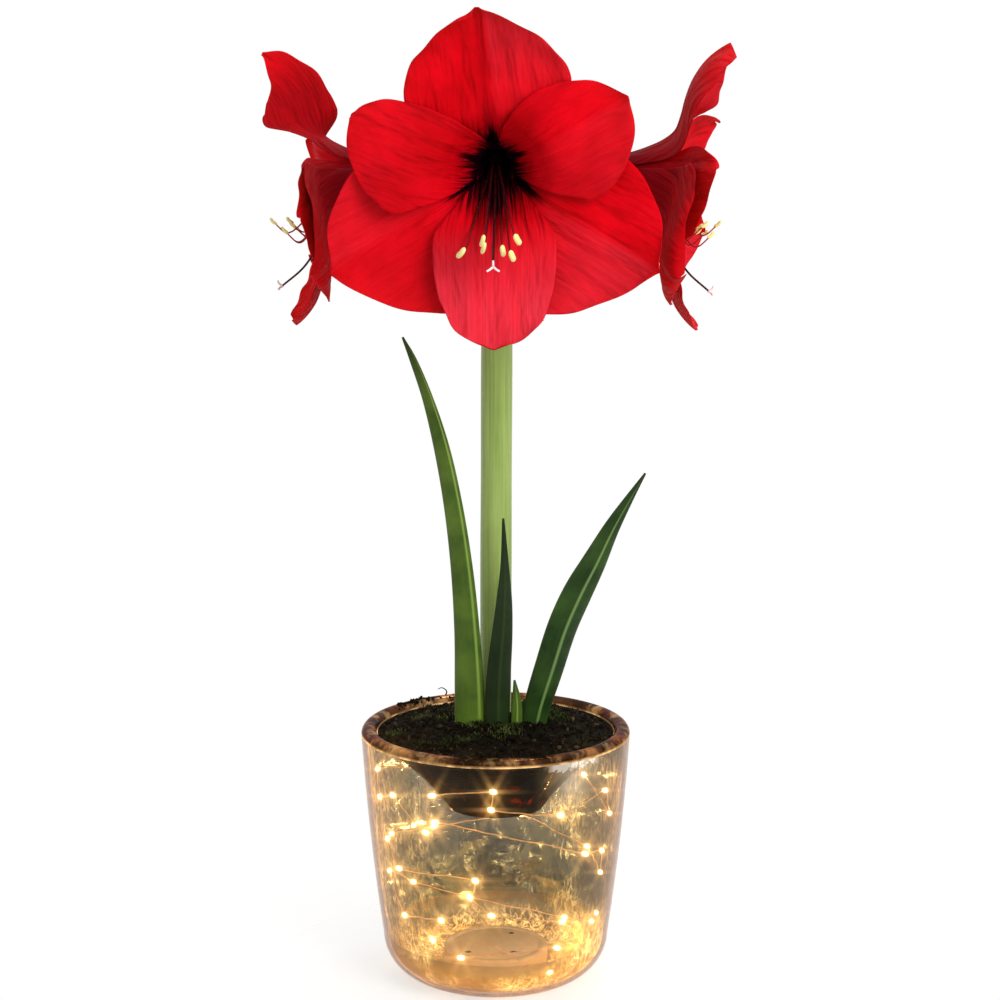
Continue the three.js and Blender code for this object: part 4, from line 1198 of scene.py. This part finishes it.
def trumpet_curve():
    """Length, place along the axis and radius, closely spaced along the trumpet's outline."""
    points = np.array(TRUMPET, float)
    padded = np.vstack([points[0], points, points[-1]])
    t = np.linspace(0, 1, 40, endpoint=False)[:, None]
    runs = [padded[first : first + 4] for first in range(len(points) - 1)]
    places = [hermite(p1, p2, (p2 - p0) / 2, (p3 - p1) / 2, t) for p0, p1, p2, p3 in runs]
    places = np.vstack([*places, points[-1:]])
    steps = np.linalg.norm(np.diff(places, axis=0), axis=1)
    return np.concatenate([[0], np.cumsum(steps)]), places[:, 0], places[:, 1]


TRUMPET_CURVE = trumpet_curve()


def trumpet_at(length):
    """Place along the axis and radius, so far along the trumpet's outline."""
    lengths, places, radii = TRUMPET_CURVE
    return np.interp(length, lengths, places), np.interp(length, lengths, radii)


def tepal_grid(tepal, phase):
    """The middle surface of a tepal: laid on the trumpet, then cupped, opened, twisted and ruffled."""
    rows, columns = TEPAL_GRID
    row, v = np.meshgrid(np.linspace(0, 1, rows), np.linspace(-1, 1, columns), indexing="ij")
    u = 0.997 * (1 - (1 - row) ** 1.4)
    length = TEPAL_START + u * (tepal["reach"] - TEPAL_START)
    here = trumpet_at(length)[1]
    flare = np.clip(trumpet_at(length + 1)[1] - here, 0, 1)
    widest = tepal["widest"]
    taper = np.where(v < 0, *tepal["tapers"])
    outline = (u / widest) ** (widest * taper / (1 - widest)) * ((1 - u) / (1 - widest)) ** taper
    half = TEPAL_FOOT_HALF_WIDTH * (1 - u) + np.where(v < 0, *tepal["half_widths"]) * outline
    across = v * np.minimum(half, here)
    blade = ease(length, 38, tepal["reach"])
    turned = ease(length, *tepal.get("twist_over", TWIST_OVER))
    twist = np.radians(tepal.get("twist", 0)) * turned
    level = across * np.cos(twist) + tepal.get("fold", 0) * np.abs(v) * turned
    turn = mix(level / here, np.arctan2(level, here), flare)
    on_trumpet = length + flare * (np.hypot(here, level) - here)
    place, radius = trumpet_at(on_trumpet)
    ahead = unit(np.stack(trumpet_at(on_trumpet + 0.5), -1) - np.stack(trumpet_at(on_trumpet - 0.5), -1))
    wave = np.sin(2 * np.pi * (1.3 * u + phase) + np.where(v > 0, 1.9, 0))
    forward = tepal["layer"] * (LAYER_GAP + LAYER_SPREAD * ease(length, 40, 70))
    forward = forward + tepal["cup"] * v * v * blade * (1.6 - blade) + across * np.sin(twist)
    forward = forward + RUFFLE * blade * np.abs(v) ** 3 * wave
    forward = forward + CRINKLE * blade * np.abs(v) ** 6 * np.sin(2 * np.pi * (5.3 * u + 2 * phase) + v * 2)
    forward = forward - KEEL * np.exp(-((across / 1.8) ** 2)) * ease(u, 0.1, 0.5)
    forward = forward + RIPPLE * np.sin(across * 0.9 + 3 * phase) * blade * (1 - v**2)
    forward = forward + FURROW * np.sin(across * 0.36 + 9 * phase + 2.4 * u) * blade * (1 - np.abs(v) ** 3)
    opened = tepal["open"] * blade * blade
    z = place + ahead[..., 1] * forward - opened
    radius = radius - ahead[..., 0] * forward + 0.7 * opened
    angle = np.radians(tepal["angle"]) + turn
    return np.stack([radius * np.sin(angle), radius * np.cos(angle), z], -1), u, v, across


def bloom_turn(data):
    """Turns rows of points from the bloom that faces +Y to this bloom's bearing."""
    bearing = math.radians(180 + data["bearing"])
    cos, sin = math.cos(bearing), math.sin(bearing)
    return np.array([(cos, sin, 0), (-sin, cos, 0), (0, 0, 1)])


def bloom_frame(data):
    """Turns a point of a perianth's own frame into the frame's axes."""
    nod = math.radians(data["nod"])
    away = np.array([0, math.cos(nod), -math.sin(nod)])
    up = np.array([0, math.sin(nod), math.cos(nod)])
    axes = np.array([np.cross(up, away), up, away]) * data["size"]
    start = away * TUBE_START + (0, 0, data["height"])
    return lambda points: (start + points @ axes) @ bloom_turn(data)


def perianth(name, material):
    data = BLOOMS[name]
    place = bloom_frame(data)
    draw = drawer(data["seed"])
    body = Body()
    for tepal_name, shared in TEPALS.items():
        tepal = {**shared, "open": shared["open"] * data["openness"], **data["changes"].get(tepal_name, {})}
        middle, u, v, across = tepal_grid(tepal, draw())
        thickness = TEPAL_THICKNESS * np.clip(1 - np.abs(v) ** 3 * 0.75, 0.25, 1) * mix(1.15, 0.7, u)
        vertices, faces = shell(place(middle), thickness * data["size"])
        lean = -(0.2 * middle[..., 0] + middle[..., 1]) * 0.004 * ease(-u, -0.5, -0.2)
        # painted highlight: each half of the inside pales by its share
        shade = 1 + mix(*tepal["painted_sheen"], ease(across, -2, 2))
        # painted shade down the midline's fold
        shade = shade - tepal.get("painted_crease_shade", 0) * np.exp(-((across / 2.2) ** 2)) * ease(u, 0.15, 0.4)
        inside = np.stack([u - lean - tepal.get("dark", 0), across, shade], -1)
        outside = np.stack([0.12 + 0.88 * u, across, np.zeros_like(u)], -1)
        body.add(vertices, faces, 0, np.vstack([outside.reshape(-1, 3), inside.reshape(-1, 3)]))
    vertices, faces, _ = lathe(CUP_PROFILE, CUP_SEGMENTS)
    ribs = 1 + 0.05 * np.cos(6 * np.arctan2(vertices[:, 1], vertices[:, 0]))
    vertices[:, :2] *= ribs[:, None]
    inner = np.arange(len(vertices)) > CUP_OUTSIDE * CUP_SEGMENTS
    along = np.clip(vertices[:, 2] / 110, 0, 1) * ~inner
    body.add(place(vertices), faces, 0, np.stack([along, vertices[:, 0], inner], 1))
    body.make("perianth_" + name + "_petals", [material], "petal_red", "perianth_" + name)


def anther(centre, way, size):
    """A short curved capsule, flattened a little."""
    steps = np.linspace(-1, 1, 15)[:, None]
    length = ANTHER_LENGTH * size
    path = centre + way * steps * length / 2 + ANTHER_BOW * length * (1 - steps**2)
    radii = ANTHER_RADIUS * size * np.sqrt(np.clip(1.02 - steps[:, 0] ** 4, 0, 1))
    return tube(path, radii, 12, squash=(1, 0.72))


def stamens(name, materials):
    """Six filaments and the longer style, low in the throat and turned up at their ends."""
    data, form = BLOOMS[name], STAMENS[name]
    place = bloom_frame(data)
    shares = np.linspace(0, 1, 40)
    plug = lathe([(0, 4.3), (3.1, 4.3), (3.5, PLUG_END), (0, PLUG_END)], 24)
    body = Body().add(place(plug[0]), plug[1])

    def strand(points, radius, tip_radius, along, ends=(0, 0)):
        path = spline(points, shares)
        shape = tube(place(path), mix(radius, tip_radius, shares) * data["size"], FILAMENT_SIDES)
        body.add(*shape, 0, ring_values(along, FILAMENT_SIDES, ends=ends))
        return path[-1]

    for number, (x, y, z) in enumerate(form["tips"]):
        angle = 2 * math.pi * (number + 0.5) / len(form["tips"])
        side, rise = 2.4 * math.sin(angle), 2 * math.cos(angle)
        points = [
            (side / 1.2, rise, PLUG_END - 1.5),
            (side, rise - 2, 18),
            (mix(side, x, 0.25), 0.33 * y + rise, 34),
            (mix(side, x, 0.6), 0.72 * y + 0.75 * rise, 50),
            (mix(side, x, 0.9), 1.03 * y - form["sag"], z - 7),
            (x, y, z),
        ]
        strand(points, FILAMENT_RADIUS, FILAMENT_RADIUS * 0.6, shares, (0, 1))
        lean = math.cos(0.035 * x)
        way = np.array([-math.sin(0.035 * x), 0.765 * lean, 0.644 * lean])
        vertices, faces = anther((x, y + 1.0, z), way, form["anther"])
        body.add(place(vertices), faces, 1)
    route = [(0, 0, PLUG_END - 1.5), (0, -3, 20), (0, -11, 36), *form["style"]]
    tip = strand(route, 0.75, 0.55, shares * 0.5)
    for angle in np.radians((0, 120, 240)):
        out, forward = STIGMA_LOBE
        lobe = np.array([out * math.sin(angle), out * math.cos(angle), forward])
        points = [tip - (0, 0, 0.5), tip + lobe * (0.5, 0.5, 0.75), tip + lobe]
        branch = spline(points, np.linspace(0, 1, 9))
        body.add(*tube(place(branch), np.linspace(0.6, 0.5, 9), FILAMENT_SIDES), 2)
    body.make("stamens_" + name + "_fine", materials, "stamen_red", "stamens_" + name)


def pedicel(data):
    """The stalk arches out of the scape's top and thickens to the three-lobed ovary."""
    nod = math.radians(data["nod"])

    def along(distance):
        return np.array([0, distance * math.cos(nod), data["height"] - distance * math.sin(nod)])

    base = np.array([0, PEDICEL_OFFSET, SCAPE_TOP + 0.3])
    points = [
        base, base + (0, 0.3, 7), (0, PEDICEL_OFFSET + 5, mix(base[2], along(20)[2], 0.66)),
        along(24), along(36), along(TUBE_START - 0.3),
    ]
    shares = np.linspace(0, 1, 70)
    thick = OVARY_RADIUS * data["size"]
    stops = [PEDICEL_RADIUS, PEDICEL_RADIUS, 3, 3, 3, 3.2, thick * 0.97, thick, thick * 0.86]
    radii = np.interp(shares, np.linspace(0, 1, len(stops)), stops)
    radii = np.convolve(np.pad(radii, 3, mode="edge"), np.ones(7) / 7, mode="valid")
    path = spline(points, shares)
    vertices, faces = tube(path, radii, PEDICEL_SIDES)
    turns = around(PEDICEL_SIDES)
    lobed = 1 - 0.11 * ease(shares, 0.66, 0.8)[:, None] * (1 + np.cos(3 * turns)) / 2
    centres = np.repeat(path, PEDICEL_SIDES, axis=0)
    vertices[:-2] = centres + (vertices[:-2] - centres) * lobed.reshape(-1, 1)
    grown = ring_values(shares * 0.4, PEDICEL_SIDES, np.abs(turns / np.pi - 1), data["seed"])
    return Body().add(vertices @ bloom_turn(data), faces, 0, grown)


# ---------------------------------------------------------------- stage, light and camera


def floor():
    """A white disc that fades out into the backdrop."""
    mesh = bpy.data.meshes.new("floor")
    vertices, faces, _ = lathe([(0, 0), (0.25, 0), (0.5, 0)], 64)
    mesh.from_pydata(vertices.tolist(), [], faces)
    look = Look("floor_white", Roughness=0.8, Specular_IOR_Level=0.2)
    reach = put(look.tree, "VectorMath", {0: look.place}, output="Value", operation="LENGTH")
    look.cover((reach * 2.0).grey((0.1, 0.4), (0.55, 0)), (1, 1, 1, 1))
    mesh.materials.append(look.done((0.95, 0.95, 0.95, 1)))
    placed("floor", mesh)


def area_light(name, place, target, size, energy):
    light = bpy.data.lights.new(name, "AREA")
    light.shape = "RECTANGLE"
    light.size, light.size_y = size
    light.energy = energy
    turn = (Vector(target) - Vector(place)).to_track_quat("-Z", "Y").to_euler()
    return placed(name, light, place, turn)


def backdrop():
    """White to look at and soft all round; what gloss picks up is bright above and behind, dim in front."""
    world = bpy.data.worlds.new("studio")
    world.use_nodes = True
    tree = world.node_tree
    _, y, z = put(tree, "TexCoord", output="Generated").split()
    light = z.grey((0.05, 0), (0.7, 0.8)) + (y * 0.5 + 0.5).grey((0.05, 0.08), (0.5, 0.36), (0.95, 0.85))
    for ray, level in (("Is Diffuse Ray", 0.76), ("Is Camera Ray", 1.0)):
        share = put(tree, "LightPath", output=ray)
        light = put(tree, "Mix", {0: share, 2: light, 3: level}, data_type="FLOAT")
    feed(tree.nodes["Background"].inputs["Color"], light)
    bpy.context.scene.world = world


def studio():
    scene = bpy.context.scene
    backdrop()
    area_light("key", (1.0, -1.3, 1.0), (0, 0, 0.36), (0.9, 0.9), 22).visible_glossy = False
    area_light("rim_shine", (0.35, 0.5, 1.5), (0, 0, 0.14), (0.3, 0.2), 3)
    scene.view_settings.view_transform = "Standard"
    scene.cycles.use_denoising = True
    scene.cycles.transparent_max_bounces = 24
    scene.cycles.sample_clamp_indirect = 4.0


def glare():
    """Soft halos and short rays round the lamps."""
    scene = bpy.context.scene
    scene.use_nodes = True
    tree = scene.node_tree
    tree.nodes.clear()
    image = tree.nodes.new("CompositorNodeRLayers").outputs["Image"]
    halo = {"Threshold": 1.1, "Smoothness": 0.2, "Strength": 1.0, "Size": 0.12, "Tint": (1, 0.72, 0.4, 1)}
    rays = {"Threshold": 1.6, "Strength": 0.4, "Streaks": 6, "Iterations": 3, "Fade": 0.8}
    for kind, settings in (("BLOOM", halo), ("STREAKS", rays)):
        node = tree.nodes.new("CompositorNodeGlare")
        node.glare_type = kind
        for key, value in settings.items():
            node.inputs[key].default_value = value
        tree.links.new(image, node.inputs["Image"])
        image = node.outputs["Image"]
    tree.links.new(image, tree.nodes.new("CompositorNodeComposite").inputs["Image"])


def camera():
    data = bpy.data.cameras.new("camera")
    data.lens = CAMERA_LENS
    data.sensor_width = SENSOR_WIDTH
    data.clip_start, data.clip_end = 0.01, 50
    turn = (math.radians(90 - CAMERA_PITCH), 0, 0)
    bpy.context.scene.camera = placed("camera", data, np.array(CAMERA_PLACE) * MM, turn)


# ---------------------------------------------------------------- the whole


def dress_plant():
    stem = stem_material()
    scape().make("scape_stem", [stem], "stem_green", "scape")
    skins = {
        "leaf_green": (colour(46, 72, 14), colour(88, 114, 32), colour(140, 170, 74), 0.7),
        "deep_leaf_green": (colour(20, 44, 12), colour(50, 82, 26), colour(126, 158, 88), 0.75),
        "dark_leaf_green": (colour(22, 38, 16), colour(38, 56, 24), colour(64, 88, 40), 0.3),
    }
    skins = {name: leaf_material(name, *skin) for name, skin in skins.items()}
    for name, data in LEAVES.items():
        leaf(data).make("leaf_" + name + "_blade", [skins[data["skin"]]], data["look"], "leaf_" + name)
    papery = bract_material()
    for name, data in BRACTS.items():
        bract(data).make("spathe_bract_" + name + "_fine", [papery], "bract_brown", "spathe_bract_" + name)
    petal = petal_material()
    stamen_looks = stamen_materials()
    for name, data in BLOOMS.items():
        perianth(name, petal)
        stamens(name, stamen_looks)
        pedicel(data).make("pedicel_" + name + "_stalk", [stem], "stem_green", "pedicel_" + name)


def paint_carried():
    """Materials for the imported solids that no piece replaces."""
    cell = steel_material()
    carried = {
        "bulb": grained_material(
            "bulb_skin", (1.0, 4, 0.6), (0.3, 84, 50, 28), (0.7, 160, 112, 66),
            stretch=(400, 400, 30), relief=(0.0005, 0.8), Roughness=0.7, Sheen_Weight=0.2,
        ),
        "battery_cover": plastic_material("cover_plastic", colour(208, 186, 152), colour(180, 150, 116)),
        **{f"battery_cell_{number}": cell for number in (1, 2, 3)},
    }
    for node, material in carried.items():
        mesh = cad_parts[node].data
        mesh.materials.clear()
        mesh.materials.append(material)


camera()
floor()
studio()
glare()
glass_pot()
battery_case()
light_string()
soil()
dress_plant()
paint_carried()
